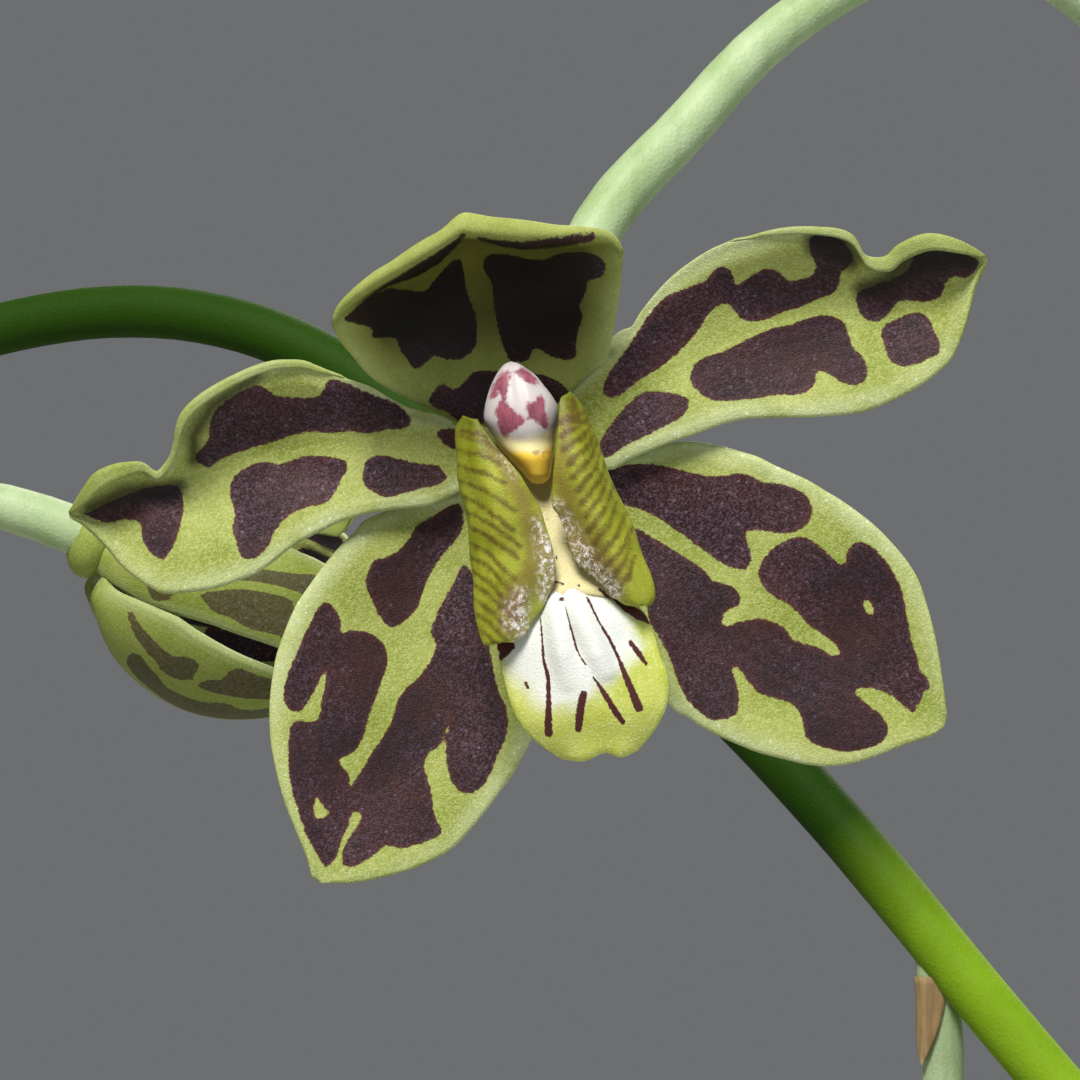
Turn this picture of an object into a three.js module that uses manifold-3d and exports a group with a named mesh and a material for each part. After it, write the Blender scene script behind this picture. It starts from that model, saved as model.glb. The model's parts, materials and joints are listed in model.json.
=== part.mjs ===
// A potted tiger orchid, Grammatophyllum scriptum, in flower: a clay pot of bark, four pseudobulbs
// with strap leaves, and two arching flower spikes. Millimetres, +Z up, the origin under the pot.
// The flower nearest the front left is modelled closely; the others repeat its form.
import * as THREE from "three";
import { mergeVertices } from "three/addons/utils/BufferGeometryUtils.js";
import Module from "manifold-3d";

const wasm = await Module();
wasm.setup();

// Driving dimensions
const CLEAR = 0.3; // gap between pieces that touch
const POT = { height: 188, foot: 88, mouth: 122, wall: 7, floor: 9, rim: 26, rimProud: 5, sides: 28 };
const DRAIN = { count: 4, radius: 7, ring: 48 };
const BARK = { top: 172, dome: 9, chips: 24, chipSize: 26 };
// Each leaf of a bulb: the way it points, how far it leans at its foot and at its tip, and its length.
const BULBS = [
  {
    name: "front", at: [8, -34], height: 128, radius: 27, turn: 80, lean: 5,
    leaves: [[243, 12, 95, 290], [268, 27, 122, 280]],
  },
  {
    name: "right", at: [58, 14], height: 142, radius: 28, turn: 18, lean: 9,
    leaves: [[-44, 24, 118, 330], [-14, 9, 78, 300], [16, 27, 126, 330], [48, 12, 100, 330]],
  },
  {
    name: "left", at: [-52, 12], height: 136, radius: 28, turn: -12, lean: 9,
    leaves: [[226, 24, 116, 320], [194, 9, 82, 300], [164, 27, 124, 330], [132, 12, 98, 330]],
  },
  {
    name: "old", at: [4, 58], height: 104, radius: 25, turn: 86, lean: 7,
    leaves: [[72, 11, 92, 340], [106, 25, 118, 310]],
  },
];
const LEAF = { thick: 1.3, half: 26, foot: 4.5, stations: 8, fold: 18 };
const SHEATH = { tall: 26, foot: 8, top: 6 }; // the leaves of a bulb clasp each other in a short neck
const TEPAL = 0.8; // thickness of sepals, petals and lip
const BLOOM_AT = [-130, -150, 640]; // the heart of the front flower
const PEDICEL = 1.5; // radius of a flower stalk
const GOLDEN = 137.5; // degrees from one bud or bark chip to the next, as round a growing tip
const BLOOM = { reach: 36, reachMore: 8, size: 0.94, sizeMore: 0.1, dip: 0.12, dipMore: 0.2 };
const BUD = { reach: 9, reachMore: 15, size: 2.6, sizeMore: 2.6, drawnOut: 1.25 };
const SHEATHS = [70, 170, 280]; // how far up a spike its papery bracts stand

// The spikes: the line of each stem and its radius from foot to tip. Each flower is given by how far
// along the stem it sits, the way it faces in degrees, and how much higher than its seat it hangs.
const SPIKES = [
  {
    name: "spike_right",
    line: [
      [-30, -58, 164], [-56, -88, 290], [-77, -105, 420], [-88, -116, 550], [-89, -123, 661],
      [-77, -120, 742], [-38, -104, 815], [28, -82, 858], [103, -60, 866], [168, -42, 835], [208, -32, 788],
    ],
    radius: [3.4, 2.6, 2.2, 2.0, 1.4],
    flowers: [
      [440, 95, -6], [548, 62, 2], [590, 300, 4], [632, 130, 0], [674, 335, -4], [716, 160, -2], [760, 12, -8],
    ],
    buds: { step: 17, count: 6 },
  },
  {
    name: "spike_left",
    line: [
      [44, -54, 164], [64, -96, 280], [56, -124, 385], [16, -131, 478], [-45, -122, 542], [-95.8, -110, 597.7],
      [-112, -100, 617.6], [-143.6, -88, 646.8], [-156.9, -82, 650.9], [-169.5, -78, 650],
      [-206, -70, 633], [-242, -64, 592], [-266, -60, 535], [-276, -58, 470],
    ],
    radius: [3.3, 2.3, 1.95, 1.9, 1.3],
    flowers: [
      [362, 42, -2], [402, 200, 2], [440, 350, -8], [512, "hanging"], [630, "opening"], [664, 300, -6],
      [704, 55, -14],
    ],
    buds: { step: 16, count: 6 },
  },
];

const V = (p) => new THREE.Vector3(...p);

// A point at share t of a smooth line through the given points.
function along(points, t) {
  const last = points.length - 1;
  const s = Math.min(Math.max(t, 0), 1) * last;
  const i = Math.min(Math.floor(s), last - 1);
  const f = s - i;
  const p1 = points[i];
  const p2 = points[i + 1];
  const p0 = i > 0 ? points[i - 1] : p1.clone().multiplyScalar(2).sub(p2);
  const p3 = i + 2 <= last ? points[i + 2] : p2.clone().multiplyScalar(2).sub(p1);
  const mix = (a, b, c, d) =>
    0.5 * (2 * b + (c - a) * f + (2 * a - 5 * b + 4 * c - d) * f * f + (3 * b - a - 3 * c + d) * f ** 3);
  const axis = (k) => mix(p0[k], p1[k], p2[k], p3[k]);
  return new THREE.Vector3(axis("x"), axis("y"), axis("z"));
}

// A point of the surface that passes through several lines laid side by side.
const patch = (rails, u, v) => along(rails.map((rail) => along(rail, u)), v);

// A closed mesh as a solid facing out.
function solid(geometry) {
  const bare = geometry.index ? geometry.toNonIndexed() : geometry.clone();
  const only = new THREE.BufferGeometry().setAttribute("position", bare.getAttribute("position"));
  const merged = mergeVertices(only, 1e-4);
  const triVerts = new Uint32Array(merged.index.array);
  const vertProperties = new Float32Array(merged.attributes.position.array);
  const build = () => new wasm.Manifold(new wasm.Mesh({ numProp: 3, vertProperties, triVerts }));
  let made = build();
  if (made.volume() < 0) {
    for (let i = 0; i < triVerts.length; i += 3) {
      [triVerts[i + 1], triVerts[i + 2]] = [triVerts[i + 2], triVerts[i + 1]];
    }
    made = build();
  }
  return made;
}

const join = (solids) => solids.reduce((all, next) => all.add(next));

// The largest body of a solid, without the scraps that a cut leaves.
function largest(made) {
  const bodies = made.decompose();
  return bodies.reduce((a, b) => (b.volume() > a.volume() ? b : a));
}

function geometryOf(made) {
  const mesh = made.getMesh();
  const points = new Float32Array(mesh.numVert * 3);
  for (let i = 0; i < mesh.numVert; i++) {
    points.set(mesh.vertProperties.subarray(i * mesh.numProp, i * mesh.numProp + 3), i * 3);
  }
  return new THREE.BufferGeometry()
    .setAttribute("position", new THREE.BufferAttribute(points, 3))
    .setIndex(new THREE.BufferAttribute(mesh.triVerts, 1));
}

// The two triangles of a cell with corners a, b, c and d, split from a to d.
function strip(index, a, b, c, d) {
  index.push(a, b, d, a, d, c);
}

function meshOf(points, index) {
  const flat = new Float32Array(points.flatMap((p) => [p.x, p.y, p.z]));
  const positions = new THREE.BufferAttribute(flat, 3);
  return new THREE.BufferGeometry().setAttribute("position", positions).setIndex(index);
}

// A thin blade: the surface at(u, v), u along it and v across, with half its thickness on each side.
function blade(at, nu, nv, thick) {
  const top = [];
  const bottom = [];
  const e = 1e-3; // the step over which the surface's slope is read
  for (let i = 0; i <= nu; i++) {
    for (let j = 0; j <= nv; j++) {
      const u = i / nu;
      const v = j / nv;
      const du = at(Math.min(u + e, 1), v).sub(at(Math.max(u - e, 0), v));
      const dv = at(u, Math.min(v + e, 1)).sub(at(u, Math.max(v - e, 0)));
      const normal = du.cross(dv).normalize();
      top.push(at(u, v).addScaledVector(normal, thick / 2));
      bottom.push(at(u, v).addScaledVector(normal, -thick / 2));
    }
  }
  const count = top.length;
  const row = nv + 1;
  const index = [];
  for (let i = 0; i < nu; i++) {
    for (let j = 0; j < nv; j++) {
      const a = i * row + j;
      strip(index, a, a + row, a + 1, a + row + 1);
      strip(index, count + a, count + a + 1, count + a + row, count + a + row + 1);
    }
  }
  for (let i = 0; i < nu; i++) {
    const a = i * row;
    const b = a + nv;
    strip(index, a, count + a, a + row, count + a + row);
    strip(index, b, b + row, count + b, count + b + row);
  }
  for (let j = 0; j < nv; j++) {
    const a = j;
    const b = nu * row + j;
    strip(index, a, a + 1, count + a, count + a + 1);
    strip(index, b, count + b, b + 1, count + b + 1);
  }
  return meshOf([...top, ...bottom], index);
}

// The value at share t of evenly spaced values.
function valueAt(values, t) {
  const s = t * (values.length - 1);
  const k = Math.min(Math.floor(s), values.length - 2);
  return values[k] + (values[k + 1] - values[k]) * (s - k);
}

// A round stem along a line of points, its radius running through the given values.
function stem(points, radii, sides, steps) {
  const ring = [];
  let side = null;
  for (let i = 0; i <= steps; i++) {
    const t = i / steps;
    const centre = along(points, t);
    const way = along(points, Math.min(t + 1e-3, 1)).sub(along(points, Math.max(t - 1e-3, 0))).normalize();
    side = side || new THREE.Vector3(0.31, 0.17, 0.05);
    side = side.clone().addScaledVector(way, -side.dot(way)).normalize();
    const other = way.clone().cross(side);
    const radius = valueAt(radii, t);
    for (let j = 0; j < sides; j++) {
      const turn = (2 * Math.PI * j) / sides;
      const point = centre.clone().addScaledVector(side, radius * Math.cos(turn));
      ring.push(point.addScaledVector(other, radius * Math.sin(turn)));
    }
  }
  const index = [];
  for (let i = 0; i < steps; i++) {
    for (let j = 0; j < sides; j++) {
      const n = (j + 1) % sides;
      strip(index, i * sides + j, i * sides + n, (i + 1) * sides + j, (i + 1) * sides + n);
    }
  }
  for (let j = 1; j < sides - 1; j++) {
    index.push(0, j + 1, j);
    const end = steps * sides;
    index.push(end, end + j, end + j + 1);
  }
  return meshOf(ring, index);
}

// An egg: a low sphere drawn out to three half axes and set at a place.
function egg(at, axes, across = 8, up = 6) {
  return new THREE.SphereGeometry(1, across, up).rotateX(Math.PI / 2).scale(...axes).translate(...at);
}

// A repeatable share from 0 to 1 for draw number n.
const draw = (n) => Math.abs(Math.sin(n * 12.9898 + 4.1414) * 43758.5453) % 1;

// The parts of a flower, seen from the front: x right, y away from the viewer, z up, the origin
// between the sepals at the foot of the column. Each blade is given by its edges and midrib.
const TEPALS = {
  dorsal: [
    [
      [-3.4, 1.4, 1.0], [-8.0, 0.6, 2.2], [-11.4, -1.4, 5.0], [-12.4, -3.6, 7.3], [-11.2, -6.2, 8.8],
      [-8.0, -8.8, 10.6], [-4.8, -10.6, 12.4],
    ],
    [
      [-1.6, 2.0, 2.2], [-2.4, 2.0, 5.4], [-3.2, 1.2, 8.8], [-3.9, -1.0, 11.6], [-4.3, -4.4, 13.2],
      [-4.5, -7.8, 13.6], [-4.6, -10.6, 12.5],
    ],
    [
      [1.8, 1.4, 1.4], [3.5, 0.8, 3.6], [4.4, -1.0, 6.8], [5.0, -3.2, 9.8], [4.6, -5.8, 12.0],
      [1.5, -8.8, 12.2], [-4.4, -10.6, 12.4],
    ],
  ],
  petalLeft: [
    [
      [-2.0, 1.7, 1.0], [-4.8, 0.5, 0.9], [-8.8, -0.2, 2.55], [-12.6, -0.9, 4.15], [-16.2, -1.6, 4.75],
      [-19.7, -2.2, 3.15], [-21.75, -2.4, 0.4], [-22.9, -0.9, -1.85], [-25.4, -2.0, -1.4],
      [-28.3, -0.6, -4.2],
    ],
    [
      [-1.8, 2.2, -0.4], [-4.8, 1.0, -1.1], [-8.9, 0.8, -0.6], [-12.8, 0.9, -0.4], [-16.4, 1.0, -1.0],
      [-19.5, 0.9, -2.0], [-21.7, 0.7, -2.9], [-23.6, 0.4, -3.6], [-26.1, -0.1, -4.2],
      [-28.4, -0.6, -4.4],
    ],
    [
      [-2.0, 1.7, -2.0], [-4.8, 0.6, -3.2], [-8.4, 0.3, -4.2], [-11.6, 0.2, -4.95], [-14.8, 0.0, -6.5],
      [-17.6, -0.2, -8.3], [-20.2, -0.4, -9.05], [-22.8, -0.5, -9.2], [-25.6, -0.6, -7.2],
      [-28.3, -0.6, -4.6],
    ],
  ],
  petalRight: [
    [
      [1.0, 1.7, 2.4], [3.5, 0.6, 4.4], [5.9, 0, 7.8], [8.9, -0.6, 10.7], [12.8, -1.3, 12.5],
      [16.8, -2.0, 12.85], [19.0, -2.0, 11.6], [20.2, -0.9, 11.0], [23.2, -2.0, 12.4],
      [26.8, -0.6, 11.1],
    ],
    [
      [1.0, 2.2, 0.8], [3.4, 1.0, 1.8], [6.4, 0.8, 3.5], [9.6, 0.9, 5.2], [13.2, 1.0, 6.9],
      [16.8, 0.9, 7.9], [19.2, 0.7, 8.0], [21.2, 0.5, 7.8], [24.2, 0, 8.7], [26.9, -0.6, 10.9],
    ],
    [
      [1.2, 1.7, -1.0], [3.9, 0.6, -1.5], [6.6, 0.3, -0.4], [9.6, 0.2, 0.5], [13.0, 0, 1.35],
      [16.6, -0.2, 1.45], [19.8, -0.4, 1.95], [22.6, -0.5, 3.2], [25.2, -0.6, 6.0], [26.8, -0.6, 10.7],
    ],
  ],
  sepalLeft: [
    [
      [-3.4, 1.5, -2.4], [-8.6, 1.6, -4.4], [-12.4, 1.2, -7.4], [-14.9, 0.8, -11.2],
      [-16.05, 0.4, -15.4], [-15.9, 0.1, -19.6], [-14.8, 0, -23.4], [-13.6, 0, -26.4],
    ],
    [
      [-2.4, 2.2, -3.6], [-5.2, 2.2, -6.8], [-7.2, 1.9, -10.0], [-8.8, 1.6, -13.4],
      [-10.2, 1.2, -17.0], [-11.4, 0.9, -20.6], [-12.4, 0.5, -23.8], [-13.5, 0, -26.5],
    ],
    [
      [-1.2, 1.7, -4.2], [-0.2, 1.8, -8.2], [0.5, 1.5, -12.4], [0.3, 1.2, -15.8], [-0.9, 0.9, -18.9],
      [-3.9, 0.5, -23.0], [-8.4, 0.2, -25.9], [-13.3, 0, -26.5],
    ],
  ],
  sepalRight: [
    [
      [3.0, 1.5, -1.6], [6.6, 1.6, -0.4], [10.8, 1.2, -0.3], [15.2, 0.8, -2.0], [19.2, 0.4, -4.4],
      [22.2, 0.1, -8.0], [23.7, 0, -12.0], [24.5, 0, -16.7],
    ],
    [
      [2.4, 2.2, -3.2], [5.6, 2.2, -4.8], [8.8, 1.9, -6.8], [12.0, 1.6, -9.2], [15.2, 1.2, -11.2],
      [18.4, 0.9, -13.2], [21.6, 0.5, -15.2], [24.5, 0, -16.8],
    ],
    [
      [1.8, 1.7, -4.4], [4.4, 1.8, -8.2], [5.6, 1.5, -12.0], [7.2, 1.2, -15.6], [11.6, 0.9, -18.3],
      [16.6, 0.5, -19.5], [21.0, 0.2, -18.9], [24.4, 0, -16.9],
    ],
  ],
};
// The lip: a throat whose sides fold forward as two lobes, and a broad middle lobe below it.
const LIP = {
  throat: [
    [
      [-3.6, -6.0, 1.2], [-1.8, -7.0, -1.4], [-0.4, -7.0, -3.8], [0.7, -6.6, -6.8], [0.4, -6.8, -9.6],
      [-1.6, -7.4, -11.9],
    ],
    [
      [-4.2, -5.6, 1.5], [-3.6, -6.8, -1.2], [-2.8, -7.4, -4.0], [-2.1, -7.6, -7.0],
      [-1.9, -7.8, -9.8], [-2.5, -7.8, -12.1],
    ],
    [
      [-4.6, -4.2, 1.2], [-5.0, -4.2, -1.4], [-4.7, -4.4, -4.2], [-4.25, -5.0, -7.2],
      [-3.9, -5.8, -9.8], [-3.5, -6.6, -12.0],
    ],
    [
      [0.2, 0.1, -3.2], [0.3, -0.8, -4.6], [0.5, -2.0, -6.2], [0.9, -3.3, -7.8], [1.3, -4.6, -9.3],
      [1.8, -5.8, -10.8],
    ],
    [
      [2.2, -4.4, 2.5], [3.2, -4.4, 0.2], [4.4, -4.6, -2.5], [5.7, -5.0, -5.4], [6.6, -5.8, -8.2],
      [6.6, -6.6, -9.8],
    ],
    [
      [1.6, -5.6, 2.9], [2.2, -6.9, 0.2], [2.7, -7.5, -2.5], [3.8, -7.7, -5.4], [5.0, -7.8, -8.0],
      [5.9, -7.6, -9.8],
    ],
    [
      [1.2, -6.0, 2.7], [0.9, -7.0, 0.2], [0.9, -7.0, -2.6], [1.9, -6.6, -5.6], [3.2, -6.8, -8.0],
      [4.9, -7.2, -9.7],
    ],
  ],
  midLobe: [
    [[0.2, -3.2, -7.4], [-1.8, -5.4, -11.2], [-2.3, -6.2, -14.0], [-1.0, -6.6, -17.0], [1.5, -6.4, -18.9]],
    [[1.2, -3.6, -7.4], [1.9, -6.8, -11.2], [2.2, -7.6, -14.0], [2.9, -7.8, -16.8], [3.6, -7.0, -18.8]],
    [[2.2, -3.2, -7.4], [6.2, -5.4, -10.8], [7.6, -6.2, -13.8], [7.3, -6.6, -16.6], [5.4, -6.4, -18.7]],
  ],
};
const COLUMN = {
  neck: [[-0.5, -0.1, -0.9], [-1.1, -4.6, 0.6]],
  neckRadius: [1.3, 1.4],
  head: { at: [-1.15, -4.6, 1.1], axes: [2.2, 1.75, 3.6], tilt: 12 },
};
const RECEPTACLE = { at: [-0.8, 2.4, -0.4], axes: [4.6, 2.0, 4.2] };

const points = (rails) => rails.map((rail) => rail.map(V));
const CURL_REACH = 28; // how far from its heart a flower's tips lie
const TIP = 0.985; // the blades stop just short of a point, so that they keep a width there
const CLOSE = { tepal: [9, 4], throat: [5, 12], midLobe: [6, 4], round: [8, 6], stalk: [8, 16] };
const PLAIN = { tepal: [3, 2], throat: [2, 6], midLobe: [2, 2], round: [5, 4], stalk: [4, 4] };

// An opening flower's tepals are still curled forward into a globe, by so many radians at their tips.
function curled(point, curl) {
  if (!curl) return point;
  const reach = Math.hypot(point.x, point.z);
  const turn = (curl * reach) / CURL_REACH;
  const radius = CURL_REACH / curl;
  const share = (radius * Math.sin(turn)) / Math.max(reach, 0.01);
  return new THREE.Vector3(point.x * share, point.y - radius * (1 - Math.cos(turn)), point.z * share);
}

// Sepals, petals and the boss that they grow from, in the flower's own frame.
function perianth(detail, curl = 0) {
  const blades = Object.values(TEPALS).map((rails) => {
    const lines = points(rails);
    return solid(blade((u, v) => curled(patch(lines, u * TIP, v), curl), ...detail.tepal, TEPAL));
  });
  return join([...blades, solid(egg(RECEPTACLE.at, RECEPTACLE.axes, ...detail.round))]);
}

function column(detail, grow = 0) {
  const { at, axes, tilt } = COLUMN.head;
  const head = egg([0, 0, 0], axes.map((a) => a + grow), ...detail.round);
  head.rotateY(-THREE.MathUtils.degToRad(tilt)).translate(...at);
  const neck = stem(COLUMN.neck.map(V), COLUMN.neckRadius.map((r) => r + grow), detail.round[0], 1);
  return solid(head).add(solid(neck));
}

function lip(detail) {
  const [throat, midLobe] = [points(LIP.throat), points(LIP.midLobe)];
  return join([
    solid(blade((u, v) => patch(throat, u, v), ...detail.throat, TEPAL)),
    solid(blade((u, v) => patch(midLobe, u, v), ...detail.midLobe, TEPAL)),
  ]);
}

// The line of a flower stalk from the spike at one end to the back of the flower at the other.
function stalkLine(from, out, to, back) {
  const curve = new THREE.CubicBezierCurve3(from, from.clone().add(out), to.clone().add(back), to);
  return curve.getPoints(6);
}

const spikeLength = (line) => {
  let total = 0;
  for (let i = 1; i <= 200; i++) total += along(line, i / 200).distanceTo(along(line, (i - 1) / 200));
  return total;
};

// The share of the line at which it is some millimetres long.
function shareAt(line, distance) {
  let total = 0;
  for (let i = 1; i <= 400; i++) {
    total += along(line, i / 400).distanceTo(along(line, (i - 1) / 400));
    if (total >= distance) return i / 400;
  }
  return 1;
}

// A point of the spike with the way that it runs there and a level direction out from it.
function seatOn(spike, distance, turn) {
  const line = spike.line.map(V);
  const t = shareAt(line, distance);
  const at = along(line, t);
  const way = along(line, Math.min(t + 0.002, 1)).sub(along(line, Math.max(t - 0.002, 0))).normalize();
  const a = THREE.MathUtils.degToRad(turn);
  const level = new THREE.Vector3(Math.sin(a), -Math.cos(a), 0);
  const out = level.clone().addScaledVector(way, -level.dot(way)).normalize();
  return { at, way, out, radius: valueAt(spike.radius, t) };
}

// A flower's place: local x right, y back, z up, turned to face the level direction and dipped a little.
function bloomFrame(at, facing, dip, scale) {
  const face = facing.clone().multiplyScalar(Math.cos(dip)).setZ(-Math.sin(dip)).normalize();
  const back = face.clone().negate();
  const right = back.clone().cross(new THREE.Vector3(0, 0, 1)).normalize();
  const up = right.clone().cross(back);
  return new THREE.Matrix4()
    .makeBasis(right, back, up)
    .scale(new THREE.Vector3(scale, scale, scale))
    .setPosition(at);
}

// Two flowers behind the front one have places of their own: where the heart is, how the flower is
// turned and dipped, its size, how far its tepals are still curled shut, and how its stalk sets out.
const PLACED = {
  hanging: { at: [-117, -119, 560], turn: 330, dip: 0.35, scale: 0.92, curl: 0, leave: [3, 0, -16] },
  opening: { at: [-160.8, -75.6, 633.1], turn: 100, dip: 0.25, scale: 1, curl: 2.8, leave: [1, 0, -8] },
};

// Every flower of a spike but the front one: its frame and the line of its stalk.
function flowersOf(spike) {
  return spike.flowers.map(([distance, turn, rise], k) => {
    const own = PLACED[turn];
    const facing = THREE.MathUtils.degToRad(own ? own.turn : turn);
    const seat = seatOn(spike, distance, own ? own.turn : turn);
    const level = new THREE.Vector3(Math.sin(facing), -Math.cos(facing), 0);
    const reach = BLOOM.reach + BLOOM.reachMore * draw(k + spike.radius[0]);
    const at = own ? V(own.at) : seat.at.clone().add(level.clone().multiplyScalar(reach).setZ(rise));
    const scale = own ? own.scale : BLOOM.size + BLOOM.sizeMore * draw(k * 3 + spike.radius[1]);
    const frame = bloomFrame(at, level, own ? own.dip : BLOOM.dip + BLOOM.dipMore * draw(k + 3), scale);
    const back = new THREE.Vector3(-0.8, 3.2, 0.6).applyMatrix4(frame);
    const away = new THREE.Vector3(0, 14, 4).transformDirection(frame).multiplyScalar(14);
    const outward = own ? V(own.leave) : seat.out.clone().multiplyScalar(14);
    const start = outward.clone().addScaledVector(seat.way, -outward.dot(seat.way)).normalize();
    const from = seat.at.clone().addScaledVector(start, seat.radius * 0.5);
    const stalk = stalkLine(from, outward, back, away);
    return { name: `${spike.name}_flower_${k + 1}`, frame, curl: own ? own.curl : 0, stalk };
  });
}

// Buds near the tip, smaller towards it, each on a short stalk sunk in the stem.
function budsOf(spike) {
  const total = spikeLength(spike.line.map(V));
  const { step, count } = spike.buds;
  const made = [];
  for (let k = 0; k < count; k++) {
    const share = k / (count - 1);
    const seat = seatOn(spike, total - 4 - step * k, 40 + GOLDEN * k);
    const reach = BUD.reach + BUD.reachMore * share;
    const tip = seat.at.clone().addScaledVector(seat.out, reach).addScaledVector(seat.way, 5);
    tip.z -= 2 * share;
    made.push(solid(stem([seat.at, tip], [0.9, 0.8 + 0.3 * share], 4, 1)));
    const size = BUD.size + BUD.sizeMore * share;
    made.push(solid(egg([tip.x, tip.y, tip.z], [size, size, size * BUD.drawnOut], 5, 4)));
  }
  return made;
}

// The bare stem of a spike, made thicker where a flower stalk is cut clear of it.
function bareStem(spike, grow = 0) {
  return solid(stem(spike.line.map(V), spike.radius.map((r) => r + grow), 6, 24));
}

function spikeSolid(spike) {
  const line = spike.line.map(V);
  const stalk = bareStem(spike);
  // short papery bracts clasp the lower stem
  const sheaths = SHEATHS.map((distance) => {
    const ends = [distance, distance + 16].map((d) => along(line, shareAt(line, d)));
    const r = valueAt(spike.radius, shareAt(line, distance));
    return solid(stem(ends, [r + 0.4, r + 0.9], 6, 1));
  });
  return largest(join([stalk, ...sheaths, ...budsOf(spike)]));
}

// The pot: a tapered wall with a rolled rim and four drain holes in its floor.
function potSolid() {
  const { height, foot, mouth, wall, floor, rim, rimProud, sides } = POT;
  const neck = mouth - ((mouth - foot) * rim) / height;
  const profile = [
    [0, 0], [foot - 3, 0], [foot, 3], [neck, height - rim - 4], [neck + rimProud, height - rim],
    [mouth + rimProud, height - 3], [mouth + rimProud - 3, height], [mouth - wall + 2, height],
    [mouth - wall, height - 3], [neck - wall, height - rim - 4], [foot - wall, floor + 5],
    [foot - wall - 5, floor], [0, floor],
  ].map(([r, z]) => new THREE.Vector2(r, z));
  const body = solid(new THREE.LatheGeometry(profile, sides).rotateX(Math.PI / 2));
  const holes = [];
  for (let k = 0; k < DRAIN.count; k++) {
    const a = (2 * Math.PI * (k + 0.5)) / DRAIN.count;
    const hole = new THREE.CylinderGeometry(DRAIN.radius, DRAIN.radius, floor * 3, 10).rotateX(Math.PI / 2);
    holes.push(solid(hole.translate(DRAIN.ring * Math.cos(a), DRAIN.ring * Math.sin(a), floor / 2)));
  }
  return body.subtract(join(holes));
}

const barkHeight = (r) => BARK.top + BARK.dome * (1 - (r / POT.mouth) ** 2);

// The bark: a core that fills the pot, with rough chips lying half sunk over its top.
function barkSolid(standing) {
  const { foot, mouth, wall, floor, height, rim, sides } = POT;
  const neck = mouth - ((mouth - foot) * rim) / height;
  const edge = neck - wall - CLEAR - 0.2;
  const profile = [
    [0, floor + CLEAR], [foot - wall - 6, floor + CLEAR], [foot - wall - 0.8, floor + 6],
    [edge, height - rim - 4], [edge, BARK.top - 5], [edge - 4, barkHeight(edge)],
    [edge * 0.7, barkHeight(edge * 0.7)], [edge * 0.36, barkHeight(edge * 0.36)], [0, barkHeight(0)],
  ].map(([r, z]) => new THREE.Vector2(r, z));
  const core = solid(new THREE.LatheGeometry(profile, sides).rotateX(Math.PI / 2));
  const chips = [];
  for (let k = 0; k < BARK.chips; k++) {
    const r = (edge - 9) * Math.sqrt((k + 0.5) / BARK.chips);
    const a = THREE.MathUtils.degToRad(GOLDEN * k);
    const long = BARK.chipSize * (0.75 + 0.6 * draw(k + 0.3));
    const chip = new THREE.BoxGeometry(long, long * (0.5 + 0.3 * draw(k + 11)), 6 + 4 * draw(k + 23));
    chip.rotateX(0.8 * (draw(k + 31) - 0.5)).rotateY(0.8 * (draw(k + 37) - 0.5)).rotateZ(6.3 * draw(k + 41));
    chips.push(solid(chip.translate(r * Math.cos(a), r * Math.sin(a), barkHeight(r) + 0.5)));
  }
  const within = solid(new THREE.CylinderGeometry(edge - 1, edge - 1, height, sides).rotateX(Math.PI / 2));
  return largest(core.add(join(chips).intersect(within.translate([0, 0, height]))).subtract(join(standing)));
}

// The outline of a pseudobulb, as shares of its radius and height.
const BULB_OUTLINE = [
  [0, 0], [0.62, 0.0], [0.9, 0.12], [1, 0.3], [0.95, 0.5], [0.74, 0.72], [0.46, 0.88], [0.3, 0.97], [0.2, 1],
  [0, 1],
];
const BULB_SINK = 12; // how far a bulb's foot lies below the bark

// A bulb leans away from the middle of the pot, about its foot.
function bulbMatrix(bulb) {
  const away = Math.atan2(bulb.at[1], bulb.at[0]);
  const axis = new THREE.Vector3(-Math.sin(away), Math.cos(away), 0);
  const foot = barkHeight(Math.hypot(...bulb.at)) - BULB_SINK;
  const lean = new THREE.Matrix4().makeRotationAxis(axis, THREE.MathUtils.degToRad(bulb.lean));
  return lean.setPosition(...bulb.at, foot);
}

function bulbGeometry(bulb, grow = 0) {
  const wide = (r) => (r > 0 ? r * bulb.radius + grow : 0);
  const tall = (h) => (h > 0 ? h * bulb.height : -grow);
  const profile = BULB_OUTLINE.map(([r, h]) => new THREE.Vector2(wide(r), tall(h)));
  const made = new THREE.LatheGeometry(profile, 14).rotateX(Math.PI / 2);
  const p = made.attributes.position;
  for (let i = 0; i < p.count; i++) {
    // shallow furrows run up the bulb, which is a little flattened
    const turn = Math.atan2(p.getY(i), p.getX(i));
    const furrow = 1 + 0.03 * Math.cos(7 * turn);
    p.setXY(i, p.getX(i) * furrow, p.getY(i) * furrow * 0.86);
  }
  made.rotateZ(THREE.MathUtils.degToRad(bulb.turn));
  return made.applyMatrix4(bulbMatrix(bulb));
}

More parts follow.
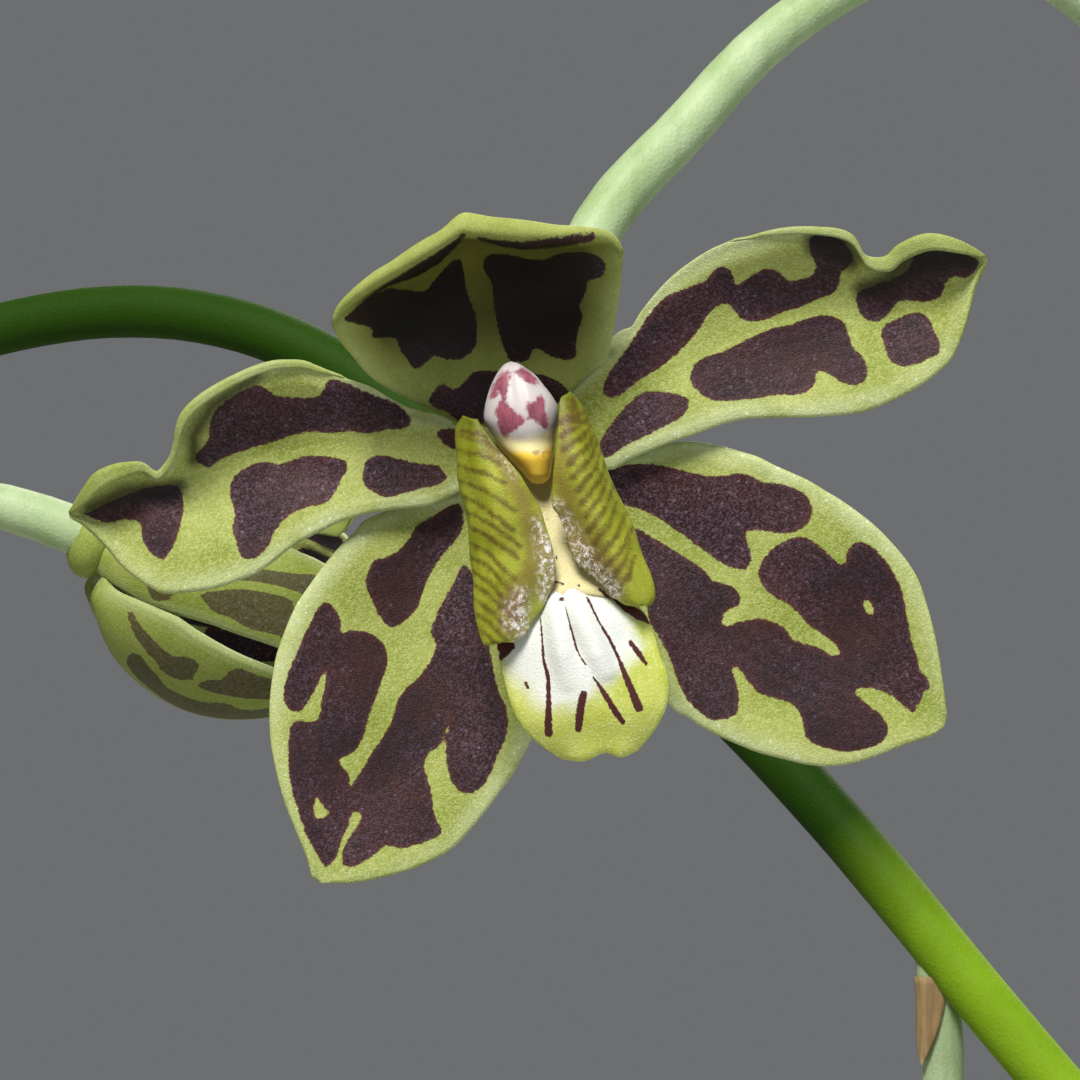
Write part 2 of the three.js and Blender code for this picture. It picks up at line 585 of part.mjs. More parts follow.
// A strap leaf: it rises from the neck on its bulb, arches out and ends in a point, folded along its rib.
function leafBlade(from, [turn, foot, tip, length]) {
  const angle = THREE.MathUtils.degToRad(turn);
  const level = new THREE.Vector3(Math.cos(angle), Math.sin(angle), 0);
  const across = new THREE.Vector3(-Math.sin(angle), Math.cos(angle), 0);
  const leanAt = (u) => THREE.MathUtils.degToRad(foot + (tip - foot) * u ** 1.5);
  const rib = [from];
  const steps = 30;
  for (let i = 1; i <= steps; i++) {
    const lean = leanAt((i - 0.5) / steps);
    const next = rib[i - 1].clone().addScaledVector(level, (Math.sin(lean) * length) / steps);
    rib.push(next.setZ(next.z + (Math.cos(lean) * length) / steps));
  }
  const at = (u, v) => {
    const swell = THREE.MathUtils.smoothstep(u, 0, 0.5);
    const point = Math.sqrt(Math.max(1 - Math.max((u - 0.5) / 0.5, 0) ** 2.2, 0.004));
    const half = (LEAF.foot + (LEAF.half - LEAF.foot) * swell) * point;
    const fold = THREE.MathUtils.degToRad(LEAF.fold + 55 * (1 - u) ** 4);
    const share = 2 * v - 1;
    const lean = leanAt(u);
    const inward = level.clone().multiplyScalar(-Math.cos(lean)).setZ(Math.sin(lean));
    const centre = along(rib, u).addScaledVector(across, share * half * Math.cos(fold));
    return centre.addScaledVector(inward, Math.abs(share) * half * Math.sin(fold));
  };
  return solid(blade(at, LEAF.stations, 2, LEAF.thick));
}

// All the leaves of a bulb, clasped in a neck that sits on the bulb's top.
function leavesSolid(bulb) {
  const foot = bulb.height + CLEAR + 0.1;
  const above = (z) => V([0, 0, foot + z]).applyMatrix4(bulbMatrix(bulb));
  const neck = solid(stem([above(0), above(SHEATH.tall)], [SHEATH.foot, SHEATH.top], 6, 1));
  const blades = bulb.leaves.map((leaf) => leafBlade(above(SHEATH.tall * 0.45), leaf));
  return largest(join([neck, ...blades]));
}

// Materials
const look = (color, roughness) => new THREE.MeshStandardMaterial({ color, roughness, metalness: 0 });
const LOOKS = {
  clay: look(0xb5673f, 0.9),
  bark: look(0x6b4a33, 0.95),
  bulb: look(0x8fa04a, 0.5),
  leaf: look(0x4f8036, 0.45),
  stem: look(0x7fae3c, 0.5),
  tepal: look(0xa9b545, 0.55),
  lip: look(0xe6e6c0, 0.5),
  column: look(0xf2ecea, 0.4),
};

const plant = new THREE.Group();
function place(name, made, material, parent = plant) {
  const mesh = new THREE.Mesh(geometryOf(made), material);
  mesh.name = name;
  parent.add(mesh);
}

const sockets = SPIKES.map((spike) => {
  const line = spike.line.map(V);
  const below = line[0].clone().multiplyScalar(1.1).addScaledVector(along(line, 0.01), -0.1);
  const wide = spike.radius[0] + CLEAR + 0.6;
  return solid(stem([below.setZ(line[0].z - 1), along(line, 0.03), along(line, 0.06)], [wide, wide], 10, 4));
});
const bulbHoles = BULBS.map((bulb) => solid(bulbGeometry(bulb, CLEAR + 0.1)));

place("pot", potSolid(), LOOKS.clay);
place("bark", barkSolid([...bulbHoles, ...sockets]), LOOKS.bark);
for (const bulb of BULBS) {
  place(`bulb_${bulb.name}`, solid(bulbGeometry(bulb)), LOOKS.bulb);
  place(`leaves_${bulb.name}`, leavesSolid(bulb), LOOKS.leaf);
}
for (const spike of SPIKES) {
  place(spike.name, spikeSolid(spike), LOOKS.stem);
  const seated = bareStem(spike, CLEAR);
  for (const { name, frame, curl, stalk } of flowersOf(spike)) {
    const whole = perianth(PLAIN, curl).transform([...frame.elements]);
    const joined = whole.add(solid(stem(stalk, [PEDICEL * 0.95, PEDICEL, PEDICEL * 1.2], ...PLAIN.stalk)));
    place(name, largest(joined.subtract(seated)), LOOKS.tepal);
    if (curl) continue; // the tepals of an opening flower still cover its lip
    const centre = largest(lip(PLAIN).add(column(PLAIN)));
    place(`${name}_lip`, centre.transform([...frame.elements]), LOOKS.lip);
  }
}

// The front flower, in a group at its own place.
const front = new THREE.Group();
front.position.set(...BLOOM_AT);
plant.add(front);
const FRONT_STALK = [
  [-0.9, 3.2, 0.8], [0.6, 7.5, 6.2], [4.2, 12, 14.8], [9.0, 14, 19.3], [12.4, 16, 23.8], [19.1, 18, 28.2],
  [27, 21, 30.5], [33.7, 23, 28.1], [40.4, 26.8, 23.2],
];
const FRONT_STALK_RADIUS = [1.9, 1.6, 1.55, 1.5, 1.5, 1.45, 1.4];
const frontStalk = solid(stem(FRONT_STALK.map(V), FRONT_STALK_RADIUS, ...CLOSE.stalk));
const beside = bareStem(SPIKES[0], CLEAR).translate(BLOOM_AT.map((x) => -x));
place("front_flower", largest(perianth(CLOSE).add(frontStalk).subtract(beside)), LOOKS.tepal, front);
place("front_flower_lip", largest(lip(CLOSE).subtract(column(CLOSE, CLEAR))), LOOKS.lip, front);
place("front_flower_column", column(CLOSE), LOOKS.column, front);

export default plant;
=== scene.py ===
import json
import math

import bmesh
import bpy
import numpy as np
from mathutils import Matrix, Vector

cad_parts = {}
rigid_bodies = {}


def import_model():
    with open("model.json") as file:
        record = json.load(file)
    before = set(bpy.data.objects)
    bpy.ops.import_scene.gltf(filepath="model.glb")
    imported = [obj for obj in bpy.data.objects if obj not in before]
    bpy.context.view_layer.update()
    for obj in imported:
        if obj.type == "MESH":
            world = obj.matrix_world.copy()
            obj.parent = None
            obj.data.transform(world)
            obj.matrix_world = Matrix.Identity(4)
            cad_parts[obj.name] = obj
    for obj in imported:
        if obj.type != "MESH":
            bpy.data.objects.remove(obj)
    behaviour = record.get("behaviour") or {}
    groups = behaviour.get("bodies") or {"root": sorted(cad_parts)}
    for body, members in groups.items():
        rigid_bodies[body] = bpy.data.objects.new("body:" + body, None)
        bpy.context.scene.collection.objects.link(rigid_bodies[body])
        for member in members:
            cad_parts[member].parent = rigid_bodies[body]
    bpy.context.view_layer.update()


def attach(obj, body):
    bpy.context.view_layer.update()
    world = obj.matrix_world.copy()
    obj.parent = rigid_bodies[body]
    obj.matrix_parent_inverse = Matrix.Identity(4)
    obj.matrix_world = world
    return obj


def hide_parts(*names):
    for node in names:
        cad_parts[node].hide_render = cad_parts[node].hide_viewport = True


for thing in list(bpy.data.objects):
    bpy.data.objects.remove(thing)
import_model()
print("frame loaded", flush=True)

mm = 0.001
draws = np.random.default_rng(11)


# colours are given as they look on a screen, 0 to 255
def tint(red, green, blue):
    shares = [c / 255 for c in (red, green, blue)]
    return tuple(c / 12.92 if c <= 0.04045 else ((c + 0.055) / 1.055) ** 2.4 for c in shares) + (1.0,)


# ---- lines, surfaces and meshes; lengths in millimetres until a mesh is made


def pickAt(line, t):
    line = np.asarray(line, float)
    last = len(line) - 1
    s = np.clip(np.asarray(t, float), 0, 1) * last
    i = np.minimum(s.astype(int), last - 1)
    f = (s - i).reshape(s.shape + (1,) * (line.ndim - 1))
    padded = np.concatenate([[2 * line[0] - line[1]], line, [2 * line[-1] - line[-2]]])
    a, b, c, d = padded[i], padded[i + 1], padded[i + 2], padded[i + 3]
    return 0.5 * (2 * b + (c - a) * f + (2 * a - 5 * b + 4 * c - d) * f**2 + (3 * b - a - 3 * c + d) * f**3)


def smoothStep(x):
    x = np.clip(x, 0, 1)
    return x * x * (3 - 2 * x)


def evenly(line, count=240):
    fine = pickAt(line, np.linspace(0, 1, 1200))
    steps = np.concatenate([[0], np.cumsum(np.linalg.norm(np.diff(fine, axis=0), axis=1))])
    wanted = np.linspace(0, steps[-1], count)
    return np.stack([np.interp(wanted, steps, fine[:, k]) for k in range(fine.shape[1])], axis=1)


def lengthOf(line):
    fine = pickAt(line, np.linspace(0, 1, 600))
    return float(np.linalg.norm(np.diff(fine, axis=0), axis=1).sum())


def surfaceAt(rails, u, v):
    lines = np.stack([pickAt(rail, u) for rail in rails])
    return pickAt(lines, v).transpose(1, 0, 2)


def normalsOf(grid):
    du = np.gradient(grid, axis=0)
    dv = np.gradient(grid, axis=1)
    normal = np.cross(du, dv)
    size = np.linalg.norm(normal, axis=2, keepdims=True)
    return normal / np.maximum(size, 1e-9)


def makeMesh(name, points, faces, fields=None, spread=None, smooth=True):
    mesh = bpy.data.meshes.new(name)
    rings = [list(map(int, f)) for f in faces]
    rings = [f[:3] if len(f) == 4 and f[2] == f[3] else f for f in rings]
    mesh.from_pydata((np.asarray(points) * mm).tolist(), [], rings)
    for key, values in (fields or {}).items():
        layer = mesh.attributes.new(key, "FLOAT", "POINT")
        layer.data.foreach_set("value", np.asarray(values, np.float32).ravel())
    if spread is not None:
        layer = mesh.uv_layers.new(name="spread")
        corners = np.zeros(len(mesh.loops), np.int32)
        mesh.loops.foreach_get("vertex_index", corners)
        layer.data.foreach_set("uv", np.asarray(spread, np.float32)[corners].ravel())
    mesh.polygons.foreach_set("use_smooth", [smooth] * len(mesh.polygons))
    mesh.update()
    return mesh


def facesOut(mesh):
    bm = bmesh.new()
    bm.from_mesh(mesh)
    bmesh.ops.recalc_face_normals(bm, faces=bm.faces)
    bm.to_mesh(mesh)
    bm.free()


# a piece takes its place on the plant: what it rides on, the CAD nodes it stands for, its finish
def addPiece(name, mesh, material, stands=()):
    piece = bpy.data.objects.new(name, mesh)
    bpy.context.scene.collection.objects.link(piece)
    if material is not None:
        mesh.materials.clear()
        mesh.materials.append(material)
    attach(piece, "root")
    if stands:
        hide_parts(*stands)
    return piece


# the cells of a grid as faces: rows run along, and a closed one also joins its last column to its first
def gridFaces(rows, columns, start=0, closed=False, flip=False):
    i, j = np.meshgrid(np.arange(rows - 1), np.arange(columns if closed else columns - 1), indexing="ij")
    k = (j + 1) % columns
    faces = np.stack(
        [i * columns + j, (i + 1) * columns + j, (i + 1) * columns + k, i * columns + k], axis=-1
    )
    faces = faces.reshape(-1, 4) + start
    return faces[:, ::-1] if flip else faces


# the faces of a ringed body that a fan closes at either end, with the fans' hearts as its last two points
def ringedFaces(rows, around, flip=False, fanFlip=False):
    faces = gridFaces(rows, around, closed=True, flip=flip).tolist()
    low, last = rows * around, (rows - 1) * around
    for j in range(around):
        k = (j + 1) % around
        if fanFlip:
            j, k = k, j
        faces += [[low, k, j, j], [low + 1, last + j, last + k, last + k]]
    return np.array(faces)


def asPart(points, faces, spread=None, fields=None):
    if spread is None:
        spread = np.zeros((len(points), 2))
    return {"points": points, "faces": faces, "fields": fields or {}, "spread": spread}


# a field on both faces of a sheet
def double(values):
    return np.concatenate([values, values])


# a thin closed sheet round a grid of points, rounded off at its rim; the back is marked as outer
def sheetShell(grid, thick, rimShare=0.45):
    rows, columns = grid.shape[:2]
    normal = normalsOf(grid)
    u = np.linspace(0, 1, rows)[:, None]
    v = np.linspace(0, 1, columns)[None, :]
    inset = np.minimum(np.minimum(v, 1 - v) * columns / 4, (1 - u) * rows / 4).clip(0, 1)
    half = np.asarray(thick) / 2 * (rimShare + (1 - rimShare) * np.sqrt(inset))
    front = grid + normal * half[..., None]
    back = grid - normal * half[..., None]
    count = rows * columns
    points = np.concatenate([front.reshape(-1, 3), back.reshape(-1, 3)])
    faces = [gridFaces(rows, columns), gridFaces(rows, columns, count, flip=True)]
    index = np.arange(count).reshape(rows, columns)
    ring = np.concatenate([index[0, :-1], index[:-1, -1], index[-1, :0:-1], index[:0:-1, 0]])
    ahead = np.roll(ring, -1)
    faces.append(np.stack([ring, ahead, ahead + count, ring + count], axis=-1))
    outer = np.concatenate([np.zeros(count), np.ones(count)])
    uGrid, vGrid = np.broadcast_arrays(u, v)
    flat = np.stack([uGrid.ravel(), vGrid.ravel()], axis=1)
    spread = np.concatenate([flat, flat])
    return points, np.concatenate(faces), outer, spread


# how far inside a closed outline each point lies, less than nothing outside it
def insideBy(places, outline):
    a = np.asarray(outline, float)
    b = np.roll(a, -1, axis=0)
    ab = b - a
    p = places[:, None, :]
    share = (((p - a) * ab).sum(-1) / np.maximum((ab**2).sum(-1), 1e-9)).clip(0, 1)
    away = np.linalg.norm(p - (a + share[..., None] * ab), axis=-1).min(1)
    crosses = (a[:, 1] > p[..., 1]) != (b[:, 1] > p[..., 1])
    safe = np.where(np.abs(ab[:, 1]) < 1e-9, 1e-9, ab[:, 1])
    reach = a[:, 0] + (p[..., 1] - a[:, 1]) * ab[:, 0] / safe
    inside = (crosses & (p[..., 0] < reach)).sum(1) % 2 == 1
    return np.where(inside, away, -away)


def rounded(outline):
    closed = np.concatenate([outline[-1:], outline, outline[:2]])
    share = np.linspace(1, len(outline) + 1, 3 * len(outline), endpoint=False) / (len(closed) - 1)
    return pickAt(closed, share)


def markDepth(places, outlines, holes=()):
    depth = np.full(len(places), -6.0)
    for outline in outlines:
        depth = np.maximum(depth, insideBy(places, rounded(np.array(outline, float))))
    for hole in holes:
        depth = np.minimum(depth, -insideBy(places, rounded(np.array(hole, float))))
    return depth


# how far inside a drawn stroke each point lies, for strokes given as points with half widths
def strokeDepth(places, strokes):
    depth = np.full(len(places), -6.0)
    for stroke in strokes:
        line = np.array(stroke, float)
        for a, b in zip(line[:-1], line[1:]):
            ab = b[:2] - a[:2]
            share = (((places - a[:2]) @ ab) / max(float(ab @ ab), 1e-9)).clip(0, 1)
            away = np.linalg.norm(places - (a[:2] + share[:, None] * ab), axis=1)
            depth = np.maximum(depth, a[2] + (b[2] - a[2]) * share - away)
    return depth


# smooth waves of a seeded kind, for bending and lumping; places are in millimetres
def waves(places, size, seed, count=7):
    pick = np.random.default_rng(seed)
    places = np.asarray(places, float)
    total = np.zeros(places.shape[:-1])
    for _ in range(count):
        way = pick.normal(size=places.shape[-1])
        way /= np.linalg.norm(way)
        pitch = size * pick.uniform(0.6, 1.7)
        total += np.sin((places @ way) * 2 * math.pi / pitch + pick.uniform(0, 2 * math.pi))
    return total / math.sqrt(count)


# ---- node trees, built by small calls


bench = {}  # the node tree that is being built, and its material and shader
soft = "SMOOTHSTEP"
fullTurn = 6.283  # how far a strewn piece may be turned, in radians


def feed(socket, value):
    if isinstance(value, bpy.types.NodeSocket):
        bench["tree"].links.new(value, socket)
    else:
        socket.default_value = value


def node(kind, values=None, **settings):
    made = bench["tree"].nodes.new(kind)
    for key, value in settings.items():
        setattr(made, key, value)
    for key, value in (values or {}).items():
        feed(made.inputs[key], value)
    return made


def calc(operation, a, b=0.0, clamp=False):
    return node("ShaderNodeMath", {0: a, 1: b}, operation=operation, use_clamp=clamp).outputs[0]


def times(a, b):
    return calc("MULTIPLY", a, b)


def plus(a, b):
    return calc("ADD", a, b)


def less(a, b, clamp=False):
    return calc("SUBTRACT", a, b, clamp)


def ramp(value, low, high, outLow=0.0, outHigh=1.0, kind="LINEAR"):
    values = {"Value": value, "From Min": low, "From Max": high, "To Min": outLow, "To Max": outHigh}
    return node("ShaderNodeMapRange", values, interpolation_type=kind).outputs[0]


def mixed(factor, a, b, blend="MIX"):
    return node("ShaderNodeMix", {0: factor, 6: a, 7: b}, data_type="RGBA", blend_type=blend).outputs[2]


def noise(place, scale, detail=2.0, rough=0.5, distort=0.0):
    values = {"Vector": place, "Scale": scale, "Detail": detail, "Roughness": rough, "Distortion": distort}
    return node("ShaderNodeTexNoise", values).outputs[0]


# noise in streaks, drawn out along z
def streaked(place, across, along, detail, rough=0.5):
    drawn = node("ShaderNodeMapping", {"Vector": place, "Scale": (across, across, along)})
    return noise(drawn.outputs[0], 1.0, detail, rough)


def field(name):
    return node("ShaderNodeAttribute", attribute_name=name, attribute_type="GEOMETRY").outputs["Fac"]


def objectPlace():
    return node("ShaderNodeTexCoord").outputs["Object"]


# the share along a blade (0) or across it (1)
def bladeShare(way):
    flat = node("ShaderNodeUVMap", uv_map="spread").outputs[0]
    return node("ShaderNodeSeparateXYZ", {0: flat}).outputs[way]


# an input's value says what kind of socket it is, and a word stands for a kind that has no value
def newGroup(name, inputs, outputs, kind="ShaderNodeTree"):
    tree = bench["tree"] = bpy.data.node_groups.new(name, kind)
    for title, value in inputs.items():
        word = value if isinstance(value, str) else {int: "Int", float: "Float"}[type(value)]
        made = tree.interface.new_socket(title, in_out="INPUT", socket_type="NodeSocket" + word)
        if word != value:
            made.default_value = value
    for title in outputs:
        word = "Geometry" if title == "Geometry" else "Float"
        tree.interface.new_socket(title, in_out="OUTPUT", socket_type="NodeSocket" + word)
    return node("NodeGroupInput").outputs, node("NodeGroupOutput").inputs


def useGroup(group, values):
    return node("ShaderNodeGroup", values, node_tree=group).outputs


def newMaterial(name):
    material = bench["material"] = bpy.data.materials.new(name)
    material.use_nodes = True
    bench["tree"] = material.node_tree
    material.node_tree.nodes.clear()
    bench["shader"] = node("ShaderNodeBsdfPrincipled")
    feed(node("ShaderNodeOutputMaterial").inputs[0], bench["shader"].outputs[0])


def finished(values):
    for key, value in values.items():
        feed(bench["shader"].inputs[key], value)
    return bench["material"]


def bump(height, strength, distance, under=None):
    values = {"Height": height, "Strength": strength, "Distance": distance}
    if under is not None:
        values["Normal"] = under
    return node("ShaderNodeBump", values).outputs[0]


# ---- effects shared by several materials


# sparkling cells: the skin of a petal is a pavement of tiny domes, some of which catch the light
def cellGroup():
    given, asked = newGroup(
        "cellSparkle", {"Cell size": 0.00011, "Share lit": 0.3}, ["Glint", "Dome", "Tone"]
    )
    place = objectPlace()
    scale = calc("DIVIDE", 1.0, given["Cell size"])
    cells = node("ShaderNodeTexVoronoi", {"Vector": place, "Scale": scale})
    tone = node("ShaderNodeSeparateColor", {0: cells.outputs["Color"]}).outputs[0]
    dome = ramp(cells.outputs["Distance"], 0.0, 0.7, 1.0, 0.0, soft)
    gate = less(1.0, given["Share lit"])
    lit = ramp(less(tone, gate), 0.0, 0.25)
    feed(asked["Glint"], times(lit, dome))
    feed(asked["Dome"], dome)
    feed(asked["Tone"], tone)
    return bench["tree"]


# the ragged edge of a marking, from how deep inside it a point lies in millimetres
def edgeGroup():
    given, asked = newGroup(
        "raggedEdge", {"Depth": 0.0, "Ragged": 0.25, "Grain size": 0.0004, "Softness": 0.08},
        ["Mask", "Depth"]
    )
    place = objectPlace()
    scale = calc("DIVIDE", 1.0, given["Grain size"])
    coarse = noise(place, scale, 3.0, 0.65)
    shift = times(less(coarse, 0.5), times(given["Ragged"], 2.0))
    depth = plus(given["Depth"], shift)
    low = times(given["Softness"], -1.0)
    feed(asked["Mask"], ramp(depth, low, given["Softness"], kind=soft))
    feed(asked["Depth"], depth)
    return bench["tree"]


# fine lines side by side that run along a blade, from its cross share
def veinGroup():
    given, asked = newGroup("parallelVeins", {"Count": 20.0, "Wander": 0.3}, ["Ridge", "Line"])
    share = bladeShare(1)
    drift = noise(objectPlace(), 60.0, 2.0, 0.5)
    across = times(share, given["Count"])
    across = plus(across, times(drift, given["Wander"]))
    wave = calc("ABSOLUTE", less(calc("FRACT", across), 0.5))
    ridge = ramp(wave, 0.0, 0.5, kind=soft)
    feed(asked["Ridge"], ridge)
    feed(asked["Line"], ramp(wave, 0.0, 0.12, 1.0, 0.0, soft))
    return bench["tree"]


# worn and dusty: large soft patches and a fine grain
def wearGroup():
    given, asked = newGroup(
        "wornSurface", {"Patch size": 0.03, "Grain size": 0.0012}, ["Patches", "Grain", "Pits"]
    )
    place = objectPlace()
    wide = noise(place, calc("DIVIDE", 1.0, given["Patch size"]), 5.0, 0.6, 0.4)
    grain = noise(place, calc("DIVIDE", 1.0, given["Grain size"]), 3.0, 0.6)
    holes = node(
        "ShaderNodeTexVoronoi", {"Vector": place, "Scale": calc("DIVIDE", 0.35, given["Grain size"])}
    )
    feed(asked["Patches"], wide)
    feed(asked["Grain"], grain)
    feed(asked["Pits"], ramp(holes.outputs["Distance"], 0.05, 0.3))
    return bench["tree"]


cellSparkle = cellGroup()
raggedEdge = edgeGroup()
parallelVeins = veinGroup()
wornSurface = wearGroup()

# ---- the flower: x right, y away from the viewer, z up, the heart of the flower at the origin

